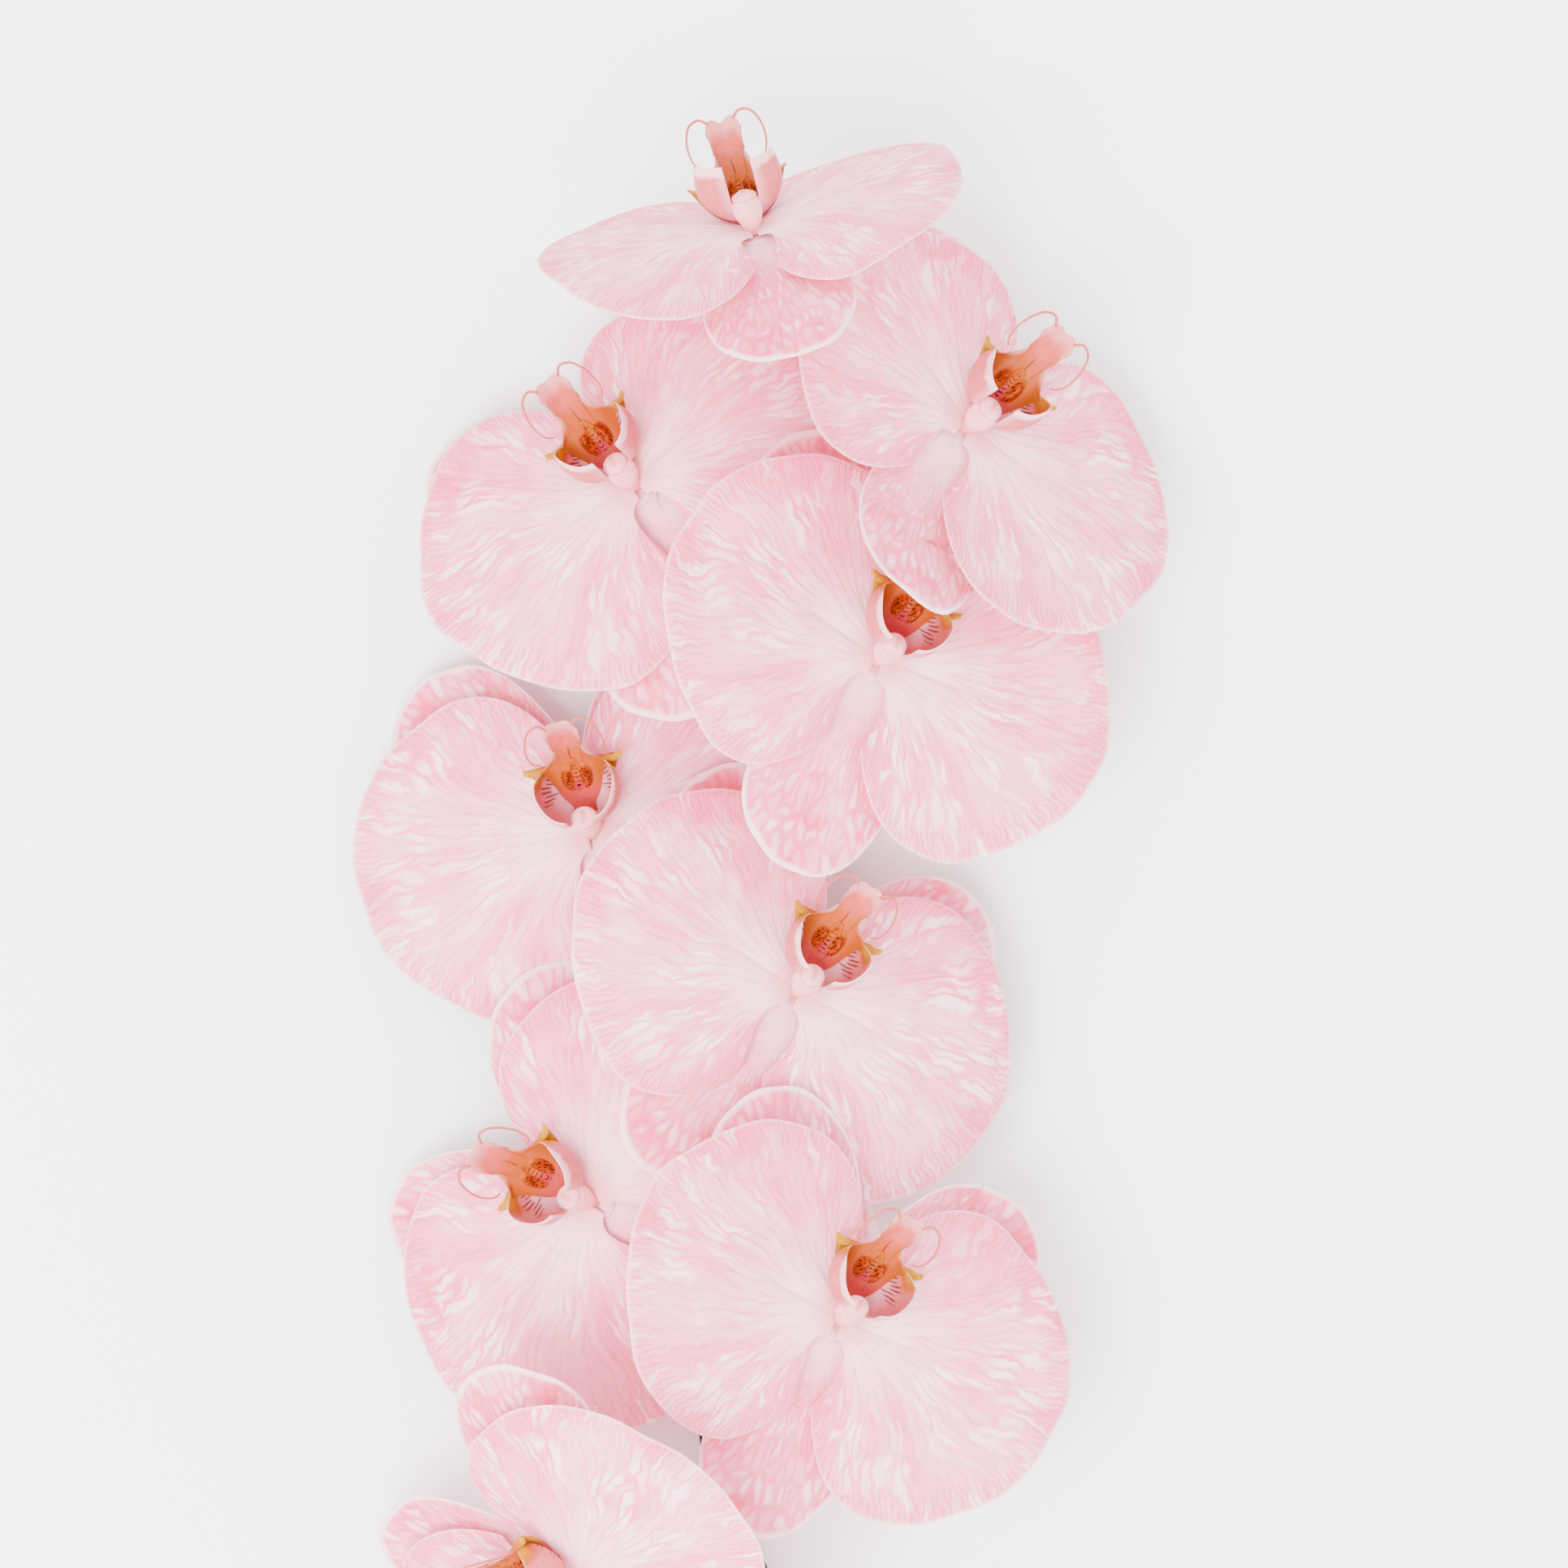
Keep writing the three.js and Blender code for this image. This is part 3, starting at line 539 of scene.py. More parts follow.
# Stem and stalks

STEM_LINE = catmull_rom(STEM_ROUTE, 60)
STEM_SHARES = arc_shares(STEM_LINE)


def on_stem(share):
    return np.array([np.interp(share, STEM_SHARES, STEM_LINE[:, axis]) for axis in range(3)])


def stem_point(distance):
    """Point, tangent and share of the stem's line at a distance up the plan."""
    share = np.interp(distance, STEM_LINE[:, 1], STEM_SHARES)
    step = 1e-3
    return on_stem(share), unit(on_stem(share + step) - on_stem(share - step)), share


def stem_radius(share, distance):
    plain = STEM["bottom"] + (STEM["top"] - STEM["bottom"]) * share
    nearest = np.min(np.abs(ALL_KNOTS - np.asarray(distance)[..., None]), axis=-1)
    return plain * (1 + STEM["swell"] * np.exp(-(nearest / STEM["reach"]) ** 2))


def bract(distance, side, length, half):
    centre, tangent, share = stem_point(distance)
    out = unit(np.array((-tangent[1], tangent[0], 0.0))) * side
    up = np.cross(out, tangent) * side
    radius = float(stem_radius(share, centre[1]))

    def surface(s, t):
        along = s * length * (1 - BRACT["slant"] * t * t)
        around = t * half * (1 - BRACT["taper"] * s * s) / radius
        clear = radius * BRACT["sunk"] + BRACT["lift"] * s + 0.15 * np.sin(5 * t + 3 * s) * s
        point = centre + tangent * along[..., None]
        point = point + out * (clear * np.cos(around))[..., None]
        return point + up * (clear * np.sin(around))[..., None]

    return blade(surface, 14, 16, 0.34, 0.14, material=2)


def stem_parts():
    path = resampled(STEM_LINE, 420)
    share = np.linspace(0, 1, len(path))
    radius = stem_radius(share, path[:, 1])
    nearest = np.min(np.abs(ALL_KNOTS - path[:, 1:2] + 1.2), axis=1)
    ring, dip = np.exp(-(nearest / 0.8) ** 2), np.exp(-((nearest - 1.8) / 0.8) ** 2)
    radius = radius * (1 + 0.05 * ring - 0.03 * dip)

    def ribs(around, along):
        fine = 0.012 * np.sin(9 * around + 30 * along) + 0.01 * np.sin(14 * around - 45 * along)
        return 1 + fine + 0.012 * np.sin(160 * along + 2 * around)

    parts = [tube(path, radius, 28, ribs, end_material=1)]
    for bloom in BLOOMS:
        side = 1 if bloom["at"][0] < stem_point(bloom["knot"])[0][0] else -1
        parts.append(bract(bloom["knot"] - BRACT["below"], side, BRACT["length"], BRACT["half"]))
    for order, knot in enumerate(BARE_KNOTS):
        side = 1 if order % 2 else -1
        parts.append(bract(knot, side, BRACT["bare_length"], BRACT["bare_half"]))
    return parts


def stalk(bloom, flower, shift):
    """Flower stalk and ribbed ovary, from the stem to the back of the bloom."""
    foot, tangent, share = stem_point(bloom["knot"])
    back = np.array(flower @ Vector((0, 0, HUB["bottom"] - 0.1))) - np.array(shift)
    facing = np.array(flower.to_3x3() @ Vector((0, 0, 1)))
    leave, clear = tangent, 0.0
    if share <= STALK["tip_share"]:
        leave = back - foot
        leave = unit(leave - tangent * np.dot(leave, tangent))
        clear = float(stem_radius(share, foot[1]))
    start = foot + leave * (clear - STALK["sunk"])
    near = start + leave * STALK["leave"]
    far = back - facing * STALK["arrive"]
    step = np.linspace(0, 1, 120)[:, None]
    keep = 1 - step
    line = start * keep ** 3 + near * 3 * keep ** 2 * step + far * 3 * keep * step ** 2 + back * step ** 3
    path = resampled(line, 40)
    along = np.linspace(0, 1, len(path))
    swollen = np.minimum(1, along / STALK["swollen_from"]) ** 2
    radius = STALK["radius"] + (STALK["ovary"] - STALK["radius"]) * swollen

    def ribs(around, reach):
        return 1 + 0.09 * np.cos(6 * around + 2.5 * reach) * np.clip((reach - 0.3) / 0.3, 0, 1)

    return tube(path, radius, 30, ribs)


# Materials. Colours are linear. The light is bright and pales them, so they are deeper than they look.

class Skin:
    """One material's node tree, built by short calls. paint lays a colour over those before it."""

    def __init__(self, name):
        self.material = bpy.data.materials.new(name)
        self.material.use_nodes = True
        self.tree = self.material.node_tree
        self.tree.nodes.clear()
        self.colour = None
        # Position on the object in mm
        object_place = self.add("ShaderNodeTexCoord", {}, 3)
        self.place = self.add("ShaderNodeVectorMath", {0: object_place, 3: 1 / MM}, operation="SCALE")

    def add(self, kind, inputs, output=0, **settings):
        node = self.tree.nodes.new(kind)
        for key, value in settings.items():
            setattr(node, key, value)
        for key, value in inputs.items():
            if isinstance(value, bpy.types.NodeSocket):
                self.tree.links.new(value, node.inputs[key])
            else:
                node.inputs[key].default_value = value
        return node.outputs[output] if node.outputs else node

    def math(self, operation, first, second=0.0):
        return self.add("ShaderNodeMath", {0: first, 1: second}, operation=operation)

    def times(self, product, *factors):
        for factor in factors:
            product = self.math("MULTIPLY", product, factor)
        return product

    def plus(self, first, second, factor=None):
        """first plus second, or plus second times factor."""
        return self.math("ADD", first, second if factor is None else self.times(second, factor))

    def minus(self, first, second):
        return self.math("SUBTRACT", first, second)

    def absolute(self, value):
        return self.math("ABSOLUTE", value)

    def length(self, x, y):
        return self.math("SQRT", self.plus(self.times(x, x), self.times(y, y)))

    def fold(self, value):
        """0 at each whole number and a half between two."""
        return self.math("PINGPONG", value, 0.5)

    def step(self, value, low, high, start=0.0, stop=1.0):
        inputs = {"Value": value, "From Min": low, "From Max": high, "To Min": start, "To Max": stop}
        return self.add("ShaderNodeMapRange", inputs, interpolation_type="SMOOTHSTEP")

    def mix(self, share, first, second):
        first, second = [(*value, 1.0) if isinstance(value, tuple) else value for value in (first, second)]
        return self.add("ShaderNodeMix", {0: share, 6: first, 7: second}, 2, data_type="RGBA")

    def paint(self, share, colour, strength=None):
        if strength is not None:
            share = self.times(share, strength)
        self.colour = self.mix(share, self.colour, colour)

    def split(self, vector):
        node = self.tree.nodes.new("ShaderNodeSeparateXYZ")
        self.tree.links.new(vector, node.inputs[0])
        return [node.outputs[k] for k in range(3)]

    def join(self, x=0.0, y=0.0, z=0.0):
        return self.add("ShaderNodeCombineXYZ", {0: x, 1: y, 2: z})

    def texture_map(self, name="fan"):
        return self.split(self.add("ShaderNodeUVMap", {}, uv_map=name))[:2]

    def plan(self):
        """Position in the bloom's own plan, in mm from where the petals meet."""
        return [self.times(self.plus(value, -0.5), PLAN) for value in self.texture_map("plan")]

    def noise(self, scale, detail=3.0, vector=None):
        inputs = {"Vector": vector or self.place, "Scale": scale, "Detail": detail}
        return self.add("ShaderNodeTexNoise", inputs)

    def sway(self, scale, detail=3.0):
        """Noise on both sides of zero."""
        return self.plus(self.noise(scale, detail), -0.5)

    def cells(self, vector, scale=1.0, feature="F1", output=0):
        inputs = {"Vector": vector, "Scale": scale}
        return self.add("ShaderNodeTexVoronoi", inputs, output, feature=feature, voronoi_dimensions="2D")

    def net(self, across, along):
        """Distance to the edge of a net's cells, and a chance for each cell."""
        at = self.join(across, along)
        return self.cells(at, feature="DISTANCE_TO_EDGE"), self.split(self.cells(at, output=1))[0]

    def chance(self, value):
        return self.add("ShaderNodeTexWhiteNoise", {"W": value}, 0, noise_dimensions="1D")

    def finish(self, roughness, height=None, depth=0.12, strength=0.6, subsurface=0.0):
        """The surface, with a bump of depth mm from height."""
        inputs = {"Base Color": self.colour, "Roughness": roughness, "Subsurface Weight": subsurface,
                  "Subsurface Radius": (1.0, 0.45, 0.4), "Subsurface Scale": 0.0012,
                  "Specular IOR Level": 0.12}
        if height is not None:
            bump = {"Height": height, "Distance": depth * MM, "Strength": strength}
            inputs["Normal"] = self.add("ShaderNodeBump", bump)
        surface = self.add("ShaderNodeBsdfPrincipled", inputs)
        self.add("ShaderNodeOutputMaterial", {"Surface": surface})
        return self.material


PETAL_WHITE = (0.95, 0.66, 0.70)
PETAL_PALE = (0.90, 0.33, 0.44)
PETAL_PINK = (0.85, 0.165, 0.30)
PETAL_VEIN = (0.76, 0.08, 0.19)
PETAL_DEEP = (0.74, 0.05, 0.14)
THROAT = (0.70, 0.12, 0.12)
PRIMARY_VEINS = 14
# Where along the blade each order of veins forks, its half width in mm and its strength
FORKS = [(0.3, 0.55, 0.9), (0.52, 0.48, 0.75), (0.78, 0.4, 0.6)]
# Length of a petal's margin in mm, and how many fine lines run out to it
MARGIN_LENGTH = 170.0
MARGIN_LINES = 105.0


def vein_spread(skin, s):
    """Length across the blade in mm at s, as the veins fan out from the claw."""
    return skin.times(skin.plus(skin.times(s, 0.5), skin.times(s, s), 0.5), MARGIN_LENGTH)


def forked_veins(skin, cell, s):
    """Darkness of veins that fork on their way to the margin, most at a vein's middle."""
    spread = vein_spread(skin, s)
    distance = skin.times(skin.fold(cell), skin.times(spread, 1 / PRIMARY_VEINS))
    dark = skin.step(distance, 0.1, 0.62, 1.0, 0.0)
    for level, (start, width, strength) in enumerate(FORKS):
        count = 2 ** level
        across = skin.times(cell, count)
        number = skin.math("FLOOR", across)
        part = skin.minus(across, number)
        luck = skin.chance(skin.plus(number, 31.7 * (level + 1)))
        turned = skin.math("GREATER_THAN", luck, 0.5)
        flipped = skin.times(skin.minus(1.0, part), skin.minus(1.0, turned))
        side = skin.plus(skin.times(part, turned), flipped)
        since = skin.minus(s, skin.plus(skin.times(luck, 0.16), start - 0.08))
        offset = skin.step(since, 0.0, 0.22, 0.0, 0.5)
        away = skin.absolute(skin.minus(side, offset))
        distance = skin.times(away, skin.times(spread, 1 / (PRIMARY_VEINS * count)))
        line = skin.step(distance, 0.05, width, strength, 0.0)
        dark = skin.math("MAXIMUM", dark, skin.times(line, skin.step(since, 0.0, 0.04)))
    return dark


def petal_material():
    skin = Skin("petal_skin")
    t, s = skin.texture_map()
    wander = skin.sway(0.045, 2.0)
    wobble = skin.sway(0.28, 2.0)
    drift = skin.plus(skin.times(wander, 1.5), wobble, 0.22)
    cell = skin.plus(skin.times(t, PRIMARY_VEINS), drift)
    dark = forked_veins(skin, cell, s)
    patch = skin.noise(0.05, 2.0)
    streak_at = skin.join(skin.times(cell, 0.9), skin.times(s, 1.6), patch)
    streak = skin.noise(1.0, 2.0, streak_at)
    skin.colour = skin.mix(skin.step(streak, 0.35, 0.68), PETAL_PALE, PETAL_PINK)
    skin.paint(skin.step(s, 0.16, 0.62, 0.75, 0.0), PETAL_WHITE)
    broad = skin.step(skin.noise(0.12, 2.0), 0.3, 0.7, 0.3, 1.0)
    skin.paint(dark, PETAL_VEIN, skin.times(skin.step(s, 0.08, 0.5, 0.2, 0.5), broad))
    tip = skin.times(skin.step(s, 0.6, 0.95), skin.step(skin.noise(0.07), 0.52, 0.7))
    skin.paint(skin.times(tip, skin.step(streak, 0.4, 0.65)), PETAL_DEEP, 0.5)
    petal_fingers(skin, cell, s, patch, wobble)
    petal_margin(skin, t, s, wobble, wander)
    near = skin.plus(skin.length(*skin.plan()), wander, 6.0)
    skin.paint(skin.step(near, 2.5, 11.0, 0.4, 0.0), THROAT)
    swell = skin.noise(1.6)
    height = skin.plus(skin.times(dark, -0.7), swell, 0.5)
    return skin.finish(skin.step(swell, 0.2, 0.8, 0.45, 0.62), height, 0.16, subsurface=0.3)


def petal_fingers(skin, cell, s, patch, wobble):
    """White cells, long and narrow, in the pink net between the veins."""
    edge, luck = skin.net(skin.plus(skin.times(cell, 3.3), wobble, 0.5),
                          skin.plus(skin.times(s, 5.2), wobble, 0.5))
    white = skin.times(skin.step(edge, 0.02, 0.34), skin.step(luck, 0.3, 0.8, 0.1, 1.0))
    zone = skin.times(skin.step(s, 0.2, 0.45), skin.step(patch, 0.38, 0.56, 0.35, 1.0))
    skin.paint(skin.times(white, zone), PETAL_WHITE, 0.92)


def petal_margin(skin, t, s, wobble, wander):
    """Fine lines that run out to the margin, and the thin white rim."""
    line_at = skin.fold(skin.plus(skin.times(t, MARGIN_LINES), wobble, 2.5))
    zone = skin.step(skin.plus(s, wander, 0.25), 0.8, 0.96)
    skin.paint(skin.times(skin.step(line_at, 0.1, 0.34, 1.0, 0.0), zone), PETAL_VEIN, 0.5)
    skin.paint(skin.step(skin.plus(s, wobble, 0.01), 0.986, 0.997), PETAL_WHITE, 0.4)


def sepal_material():
    skin = Skin("sepal_skin")
    t, s = skin.texture_map()
    wander = skin.sway(0.12)
    edge, luck = skin.net(skin.plus(skin.times(t, 34.0), wander, 1.5), skin.plus(skin.times(s, 9.0), wander))
    line = skin.step(edge, 0.02, 0.24, 1.0, 0.0)
    fill = skin.step(edge, 0.08, 0.4)
    radius = skin.length(*skin.plan())
    outer = skin.step(radius, 14.0, 46.0)
    patch = skin.step(skin.noise(0.07, 2.0), 0.35, 0.65)
    skin.colour = skin.mix(patch, PETAL_PALE, PETAL_PINK)
    white = skin.times(fill, skin.step(luck, 0.35, 0.85, 0.12, 0.6))
    inner = skin.step(skin.plus(radius, wander, 12.0), 6.0, 26.0, 0.5, 0.0)
    skin.paint(skin.math("MAXIMUM", white, inner), PETAL_WHITE)
    skin.paint(line, PETAL_VEIN, skin.plus(skin.times(outer, 0.34), 0.1))
    flush = skin.times(outer, skin.step(skin.noise(0.13), 0.48, 0.66))
    skin.paint(flush, PETAL_DEEP, skin.step(luck, 0.1, 0.6, 0.3, 0.7))
    skin.paint(skin.step(skin.plus(s, wander, 0.04), 0.97, 0.99), PETAL_WHITE, 0.8)
    skin.paint(skin.step(radius, 2.0, 8.0, 0.25, 0.0), THROAT)
    height = skin.plus(skin.times(line, -0.8), skin.noise(1.5), 0.5)
    return skin.finish(0.5, height, 0.15, subsurface=0.3)


SALMON = (0.47, 0.045, 0.038)
SALMON_PALE = (0.60, 0.12, 0.105)
ORANGE = (0.37, 0.066, 0.001)
YELLOW = (0.41, 0.175, 0.001)
MAROON = (0.045, 0.001, 0.005)
ROSE = (0.42, 0.024, 0.042)
LIP_WHITE = (0.80, 0.46, 0.48)
LILAC = (0.60, 0.20, 0.245)
LOBE_ROSE = (0.50, 0.06, 0.072)
KNOB_RED = (0.30, 0.022, 0.001)
DOT_BROWN = (0.06, 0.002, 0.001)
TENDRIL_RED = (0.40, 0.06, 0.05)
TENDRIL_PALE = (0.52, 0.12, 0.10)


def middle_lobe_material():
    skin = Skin("lip_middle_skin")
    x, y = skin.plan()
    t, s = skin.texture_map()
    wander = skin.sway(0.5)
    off = skin.absolute(x)
    skin.colour = skin.mix(skin.noise(0.35), SALMON, SALMON_PALE)
    skin.paint(skin.step(skin.plus(y, wander, 3.0), 21.5, 17.0), ORANGE, 0.85)
    skin.paint(skin.step(skin.plus(off, wander, 2.0), 3.6, 6.0), ORANGE)
    skin.paint(skin.step(skin.plus(off, wander), 6.8, 9.6), YELLOW)
    rim = skin.step(skin.plus(s, wander, 0.06), 0.86, 0.97)
    near_tip = skin.step(skin.absolute(skin.plus(t, -0.5)), 0.36, 0.28)
    skin.paint(skin.times(rim, near_tip), LIP_WHITE, 0.35)
    line = skin.step(skin.absolute(skin.plus(x, wander, 0.7)), 0.09, 0.26, 1.0, 0.0)
    reach = skin.times(skin.step(y, 14.5, 15.5), skin.step(y, 20.5, 18.0))
    skin.paint(skin.times(line, reach), MAROON, 0.7)
    skin.paint(skin.step(y, 12.5, 8.0), ROSE, 0.8)
    return skin.finish(0.42, skin.noise(2.2), subsurface=0.25)


def side_lobe_material():
    skin = Skin("lip_side_skin")
    t, s = skin.texture_map()
    wander = skin.sway(0.4)
    band = skin.times(skin.step(s, 0.12, 0.42), skin.step(t, 1.0, 0.85))
    skin.colour = skin.mix(band, LILAC, LOBE_ROSE)
    skin.paint(skin.noise(0.5), LIP_WHITE, 0.25)
    corner = skin.step(skin.plus(t, wander, 0.14), 0.34, 0.16)
    skin.paint(corner, ORANGE, skin.step(skin.plus(s, wander, 0.2), 0.42, 0.66))
    skin.paint(skin.step(t, 0.26, 0.08), YELLOW, skin.step(s, 0.6, 0.84))
    rim_start = skin.step(t, 0.2, 0.5, 0.98, 0.88)
    beyond = skin.minus(skin.plus(s, wander, 0.08), rim_start)
    skin.paint(skin.step(beyond, 0.0, 0.06), LIP_WHITE, 0.92)
    across = skin.plus(skin.times(t, 13.0), wander, 0.5)
    luck = skin.chance(skin.math("FLOOR", across))
    along = skin.minus(s, skin.plus(skin.times(luck, 0.14), 0.14))
    bar = skin.times(skin.step(skin.fold(across), 0.2, 0.32), skin.step(along, 0.0, 0.03))
    reach = skin.times(skin.step(along, 0.3, 0.18), skin.step(t, 0.56, 0.46))
    skin.paint(skin.times(bar, reach), MAROON, 0.75)
    return skin.finish(0.42, skin.noise(2.0), 0.1, subsurface=0.25)


def callus_material():
    skin = Skin("callus_skin")
    x, y = skin.plan()
    off = skin.absolute(x)
    grain = skin.noise(1.2)
    skin.colour = skin.mix(skin.step(y, 13.5, 10.5), ORANGE, ROSE)
    streak = skin.step(skin.fold(skin.plus(skin.times(y, 1.1), grain, 1.5)), 0.28, 0.42)
    middle = skin.times(skin.step(off, 0.9, 0.3), skin.step(y, 16.5, 14.0))
    skin.paint(streak, MAROON, middle)
    knob_x, knob_y = CALLUS["knob"]
    away = skin.length(skin.times(skin.plus(off, -knob_x), 0.7), skin.times(skin.plus(y, -knob_y), 0.42))
    knob = skin.step(away, 1.25, 0.8)
    skin.paint(knob, skin.mix(grain, ORANGE, KNOB_RED))
    skin.paint(skin.step(skin.cells(skin.join(x, y), 1.7), 0.36, 0.2), DOT_BROWN, knob)
    return skin.finish(0.4, skin.noise(3.0, 4.0), 0.2, 0.8, 0.1)


def tendril_material():
    skin = Skin("tendril_skin")
    grain = skin.noise(1.0)
    skin.colour = skin.mix(grain, TENDRIL_RED, TENDRIL_PALE)
    return skin.finish(0.45, grain, 0.1, 0.5, 0.2)


COLUMN_PALE = (0.90, 0.44, 0.46)
COLUMN_PINK = (0.82, 0.26, 0.29)
COLUMN_FOOT = (0.62, 0.11, 0.10)
COLUMN_HOLLOW = (0.42, 0.035, 0.045)
COLUMN_SEAM = (0.52, 0.10, 0.085)
COLUMN_SPOT = (0.52, 0.06, 0.06)


def column_material():
    skin = Skin("column_skin")
    turn, share = skin.texture_map()
    skin.colour = skin.mix(skin.noise(0.6), COLUMN_PALE, COLUMN_PINK)
    skin.paint(skin.step(share, 0.45, 0.05, 0.0, 0.8), COLUMN_FOOT)
    toward_lip = skin.step(skin.absolute(skin.plus(turn, -0.25)), 0.13, 0.05)
    band = skin.times(skin.step(share, 0.42, 0.52), skin.step(share, 0.78, 0.68))
    skin.paint(skin.times(toward_lip, band), COLUMN_HOLLOW, 0.75)
    skin.paint(skin.step(skin.absolute(skin.plus(share, -0.815)), 0.03, 0.005), COLUMN_SEAM, 0.5)
    spot = skin.step(skin.absolute(skin.plan()[0]), 1.0, 0.3)
    skin.paint(skin.times(spot, skin.step(share, 0.93, 0.99)), COLUMN_SPOT, 0.55)
    return skin.finish(0.38, skin.noise(2.5), subsurface=0.3)


STALK_BROWN = (0.037, 0.016, 0.016)
STALK_PINK = (0.18, 0.062, 0.055)
STALK_RIB = (0.03, 0.01, 0.011)
STALK_OLIVE = (0.09, 0.045, 0.026)
STALK_FLECK = (0.018, 0.006, 0.007)
BARK_DARK = (0.008, 0.005, 0.004)
BARK_BROWN = (0.02, 0.012, 0.009)
BARK_OLIVE = (0.025, 0.021, 0.011)
BARK_LOWER = (0.021, 0.018, 0.01)
BARK_PORE = (0.045, 0.03, 0.022)
PITH_LINE = (0.06, 0.048, 0.02)
PITH = (0.16, 0.14, 0.07)
PITH_PORE = (0.03, 0.018, 0.009)
BRACT_DARK = (0.03, 0.017, 0.01)
BRACT_PALE = (0.08, 0.05, 0.03)
BRACT_EDGE = (0.013, 0.007, 0.005)


def stalk_material():
    skin = Skin("stalk_skin_fine")
    turn, along = skin.texture_map()
    skin.colour = skin.mix(skin.step(along, 0.2, 0.9), STALK_BROWN, STALK_PINK)
    rib = skin.fold(skin.plus(skin.times(turn, 6.0), along, 2.4))
    skin.paint(skin.step(rib, 0.3, 0.0), STALK_RIB, 0.4)
    skin.paint(skin.noise(0.25), STALK_OLIVE, 0.35)
    skin.paint(skin.step(skin.noise(2.2), 0.6, 0.75), STALK_FLECK, 0.3)
    return skin.finish(0.48, skin.noise(3.0), subsurface=0.15)


def bark_material():
    skin = Skin("stem_skin")
    turn, along = skin.texture_map()
    x, y, z = skin.split(skin.place)
    grain = skin.noise(0.9, 4.0, skin.join(x, skin.times(y, 0.22), z))
    skin.colour = skin.mix(skin.step(grain, 0.3, 0.7), BARK_DARK, BARK_BROWN)
    skin.paint(skin.step(skin.noise(0.06), 0.5, 0.72), BARK_OLIVE, 0.55)
    skin.paint(skin.step(along, 0.5, 0.1), BARK_LOWER, 0.3)
    pore = skin.cells(skin.join(skin.times(turn, 26.0), skin.times(along, 520.0)))
    skin.paint(skin.step(pore, 0.22, 0.1), BARK_PORE, 0.5)
    height = skin.plus(skin.times(grain, 0.7), skin.noise(3.0), 0.4)
    return skin.finish(skin.step(grain, 0.2, 0.8, 0.4, 0.62), height, 0.2, 0.8)


def cut_material():
    skin = Skin("stem_cut_end")
    x, y, z = skin.split(skin.place)
    across = skin.join(x, z)
    pith = skin.cells(across, 2.2, "DISTANCE_TO_EDGE")
    skin.colour = skin.mix(skin.step(pith, 0.0, 0.2), PITH_LINE, PITH)
    skin.paint(skin.step(skin.cells(across, 0.9), 0.22, 0.12), PITH_PORE)
    return skin.finish(0.7, pith, 0.2, 0.8)


def bract_material():
    skin = Skin("bract_skin")
    t, s = skin.texture_map()
    lines = skin.noise(1.0, 3.0, skin.join(skin.times(t, 26.0), skin.times(s, 1.5)))
    skin.colour = skin.mix(lines, BRACT_DARK, BRACT_PALE)
    edge = skin.step(skin.absolute(skin.plus(t, -0.5)), 0.36, 0.49)
    edge = skin.math("MAXIMUM", edge, skin.step(s, 0.8, 0.98))
    skin.paint(edge, BRACT_EDGE, 0.7)
    return skin.finish(0.66, skin.plus(lines, skin.noise(2.0), 0.4), 0.2, 0.8, 0.1)


FLOOR_GREY = (0.94, 0.94, 0.94)
FLOOR_WHITE = (0.97, 0.97, 0.97)


def floor_material():
    skin = Skin("pale_floor")
    skin.colour = skin.mix(skin.noise(0.01, 2.0), FLOOR_GREY, FLOOR_WHITE)
    return skin.finish(0.8)


# Assembly

def part_shift():
    """How far the whole part is moved from the zero of BLOOMS and STEM_ROUTE, in mm."""
    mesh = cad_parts["stem"].data
    points = np.empty(len(mesh.vertices) * 3, np.float32)
    mesh.vertices.foreach_get("co", points)
    points = np.unique(np.round(points.reshape(-1, 3) / MM, 3), axis=0)
    ring = points[np.argsort(points[:, 1])][:8]
    return Vector(ring.mean(axis=0) - np.array(STEM_ROUTE[0]))


def add_bloom(order, bloom, shift, looks):
    turn = bloom_turn(bloom, shift)
    seed = 100 + 10 * order
    leaves = [hub(), sepal(LATERAL, 1, bloom, 0, seed + 2), sepal(LATERAL, -1, bloom, 0, seed + 3),
              sepal(DORSAL, 1, bloom, bloom["turn"], seed + 4)]
    lip = [middle_lobe(), side_lobe(1), side_lobe(-1), callus(), tendril(1), tendril(-1)]
    pieces = [
        ("_petal_right", [petal(1, bloom, order, seed)], ["petal"], "petal_tissue"),
        ("_petal_left", [petal(-1, bloom, order + PETAL["left_phase"], seed + 1)], ["petal"], "petal_tissue"),
        ("_sepals", leaves, ["sepal"], "petal_tissue"),
        ("_lip", lip, ["middle_lobe", "side_lobe", "callus", "tendril"], "lip_tissue"),
        ("_column", [column()], ["column"], "column_tissue"),
    ]
    for ending, parts, skins, slot_name in pieces:
        make_piece(bloom["name"] + ending, parts, turn, [looks[skin] for skin in skins])
    line = [stalk(bloom, turn, shift)]
    make_piece(bloom["name"] + "_stalk", line, Matrix.Translation(shift), [looks["stalk"]])


FLOOR = dict(half=3.0, under=0.0004)
CAMERA = dict(distance=4.0, plane_height=0.045, view_width=0.3645, sensor=36.0, far=20.0)
KEY_LIGHT = dict(offset=(-0.7, -0.8, 2.2), aim_height=0.03, energy=150.0, size=1.4)
SKY = dict(colour=(1.0, 0.99, 0.985, 1.0), strength=3.9)


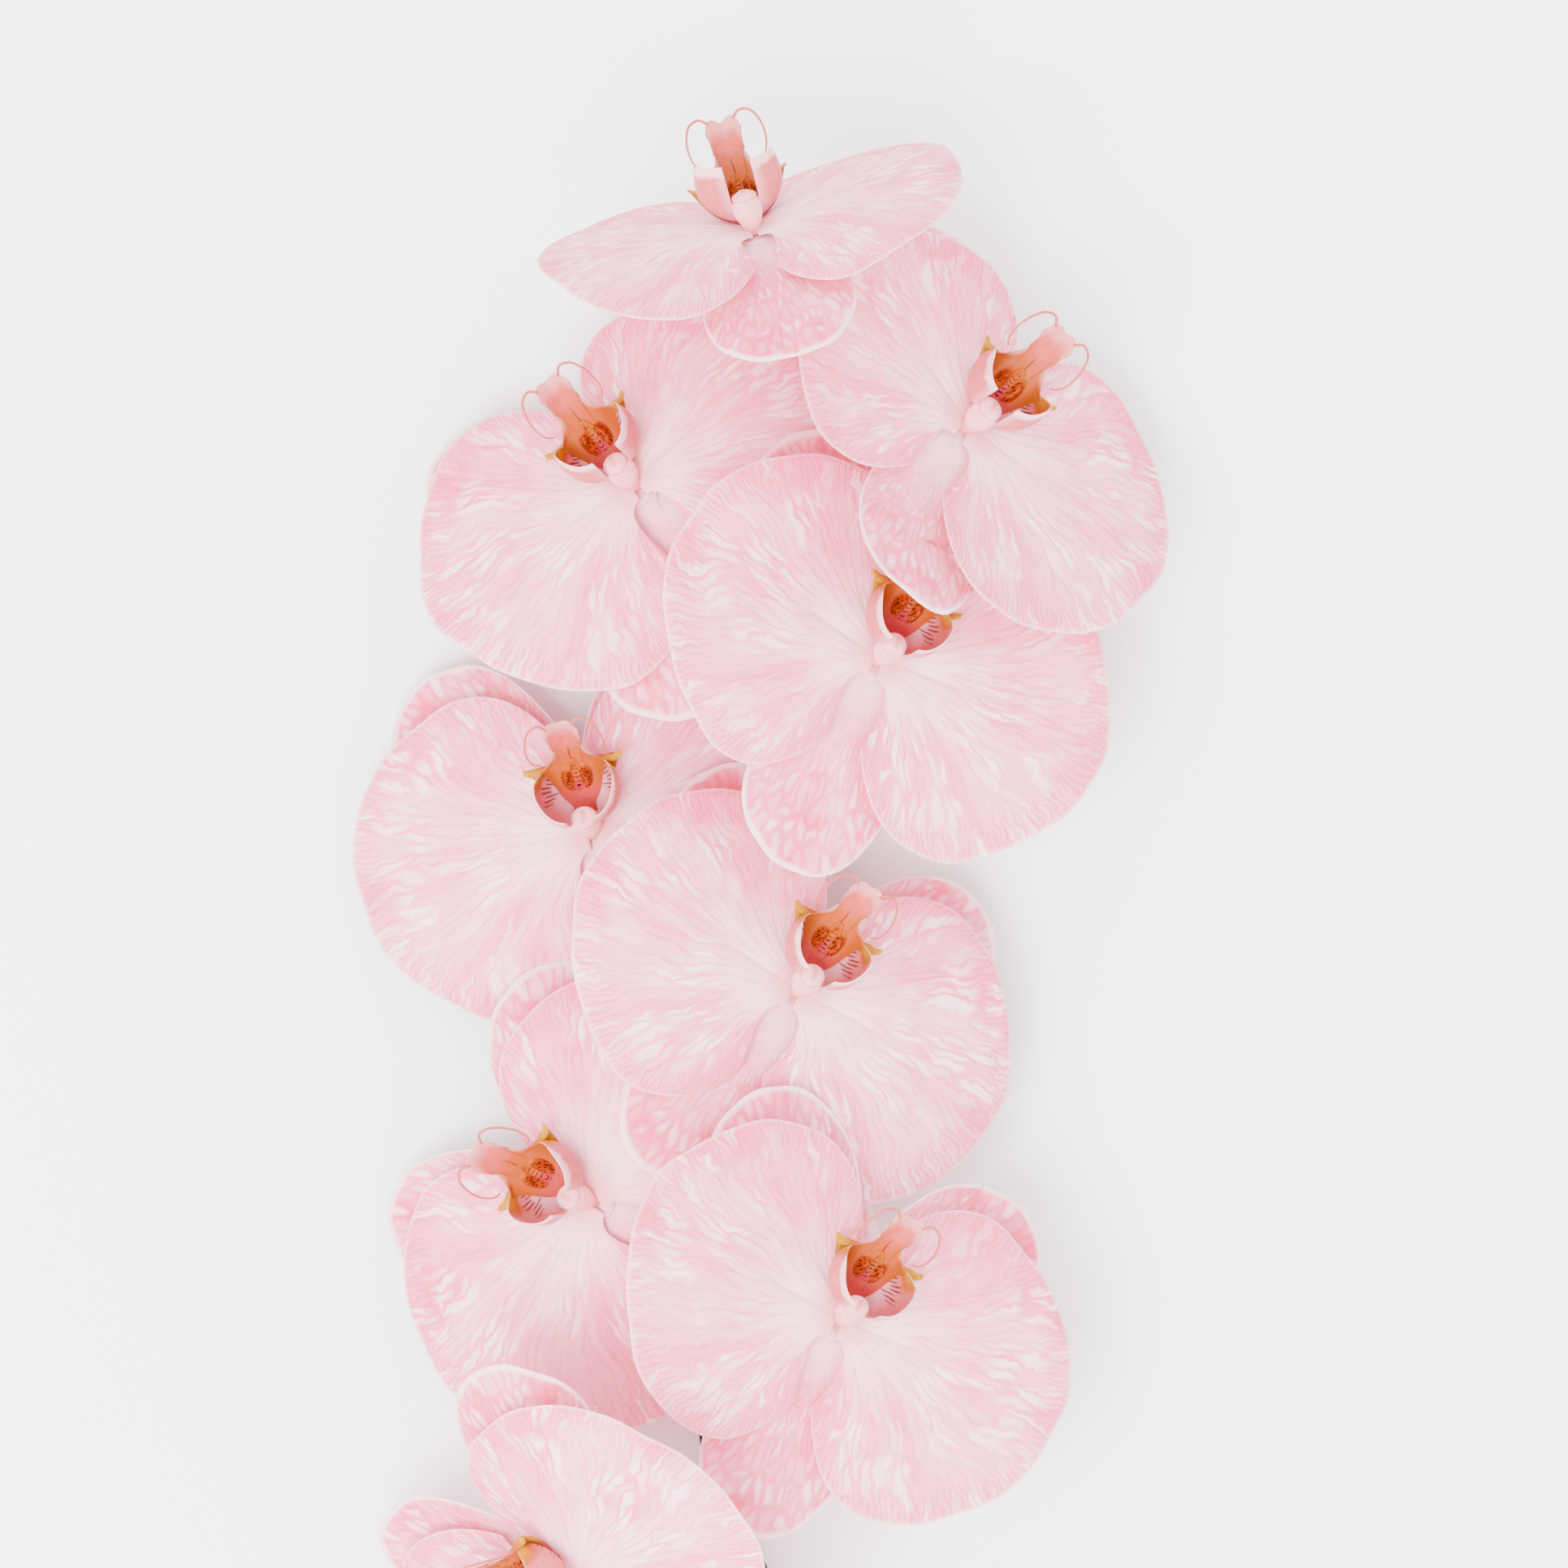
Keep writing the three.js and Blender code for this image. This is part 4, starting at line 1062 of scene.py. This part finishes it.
def add_stage(centre):
    size = FLOOR["half"]
    mesh = bpy.data.meshes.new("pale_surface")
    corners = [(-size, -size, 0), (size, -size, 0), (size, size, 0), (-size, size, 0)]
    mesh.from_pydata(corners, [], [(0, 1, 2, 3)])
    mesh.materials.append(floor_material())
    surface = bpy.data.objects.new("pale_surface", mesh)
    surface.location = (centre.x, centre.y, -FLOOR["under"])
    bpy.context.scene.collection.objects.link(surface)


def add_key_light(centre):
    data = bpy.data.lights.new("key_light", "AREA")
    data.energy = KEY_LIGHT["energy"]
    data.size = KEY_LIGHT["size"]
    x, y, height = KEY_LIGHT["offset"]
    place = Vector((centre.x + x, centre.y + y, height))
    aim = Vector((centre.x, centre.y, KEY_LIGHT["aim_height"]))
    lamp = bpy.data.objects.new("key_light", data)
    lamp.location = place
    lamp.rotation_euler = (aim - place).to_track_quat("-Z", "Y").to_euler()
    bpy.context.scene.collection.objects.link(lamp)


def add_camera(centre):
    """Straight above, with the photograph's zero pixel over the zero of the plan."""
    data = bpy.data.cameras.new("photo_camera")
    data.sensor_width = CAMERA["sensor"]
    data.lens = CAMERA["sensor"] * CAMERA["distance"] / CAMERA["view_width"]
    data.clip_end = CAMERA["far"]
    camera = bpy.data.objects.new("photo_camera", data)
    camera.location = (centre.x, centre.y, CAMERA["distance"] + CAMERA["plane_height"])
    bpy.context.scene.collection.objects.link(camera)
    bpy.context.scene.camera = camera


def set_world():
    world = bpy.data.worlds.new("soft_sky")
    world.use_nodes = True
    background = world.node_tree.nodes["Background"]
    background.inputs["Color"].default_value = SKY["colour"]
    background.inputs["Strength"].default_value = SKY["strength"]
    bpy.context.scene.world = world


shift = part_shift()
looks = dict(petal=petal_material(), sepal=sepal_material(), middle_lobe=middle_lobe_material(),
             side_lobe=side_lobe_material(), callus=callus_material(), tendril=tendril_material(),
             column=column_material(), stalk=stalk_material())
for order, bloom in enumerate(BLOOMS):
    add_bloom(order, bloom, shift, looks)
make_piece("stem", stem_parts(), Matrix.Translation(shift),
           [bark_material(), cut_material(), bract_material()])

centre = shift * MM
add_stage(centre)
add_camera(centre)
set_world()
add_key_light(centre)

bpy.context.view_layer.update()
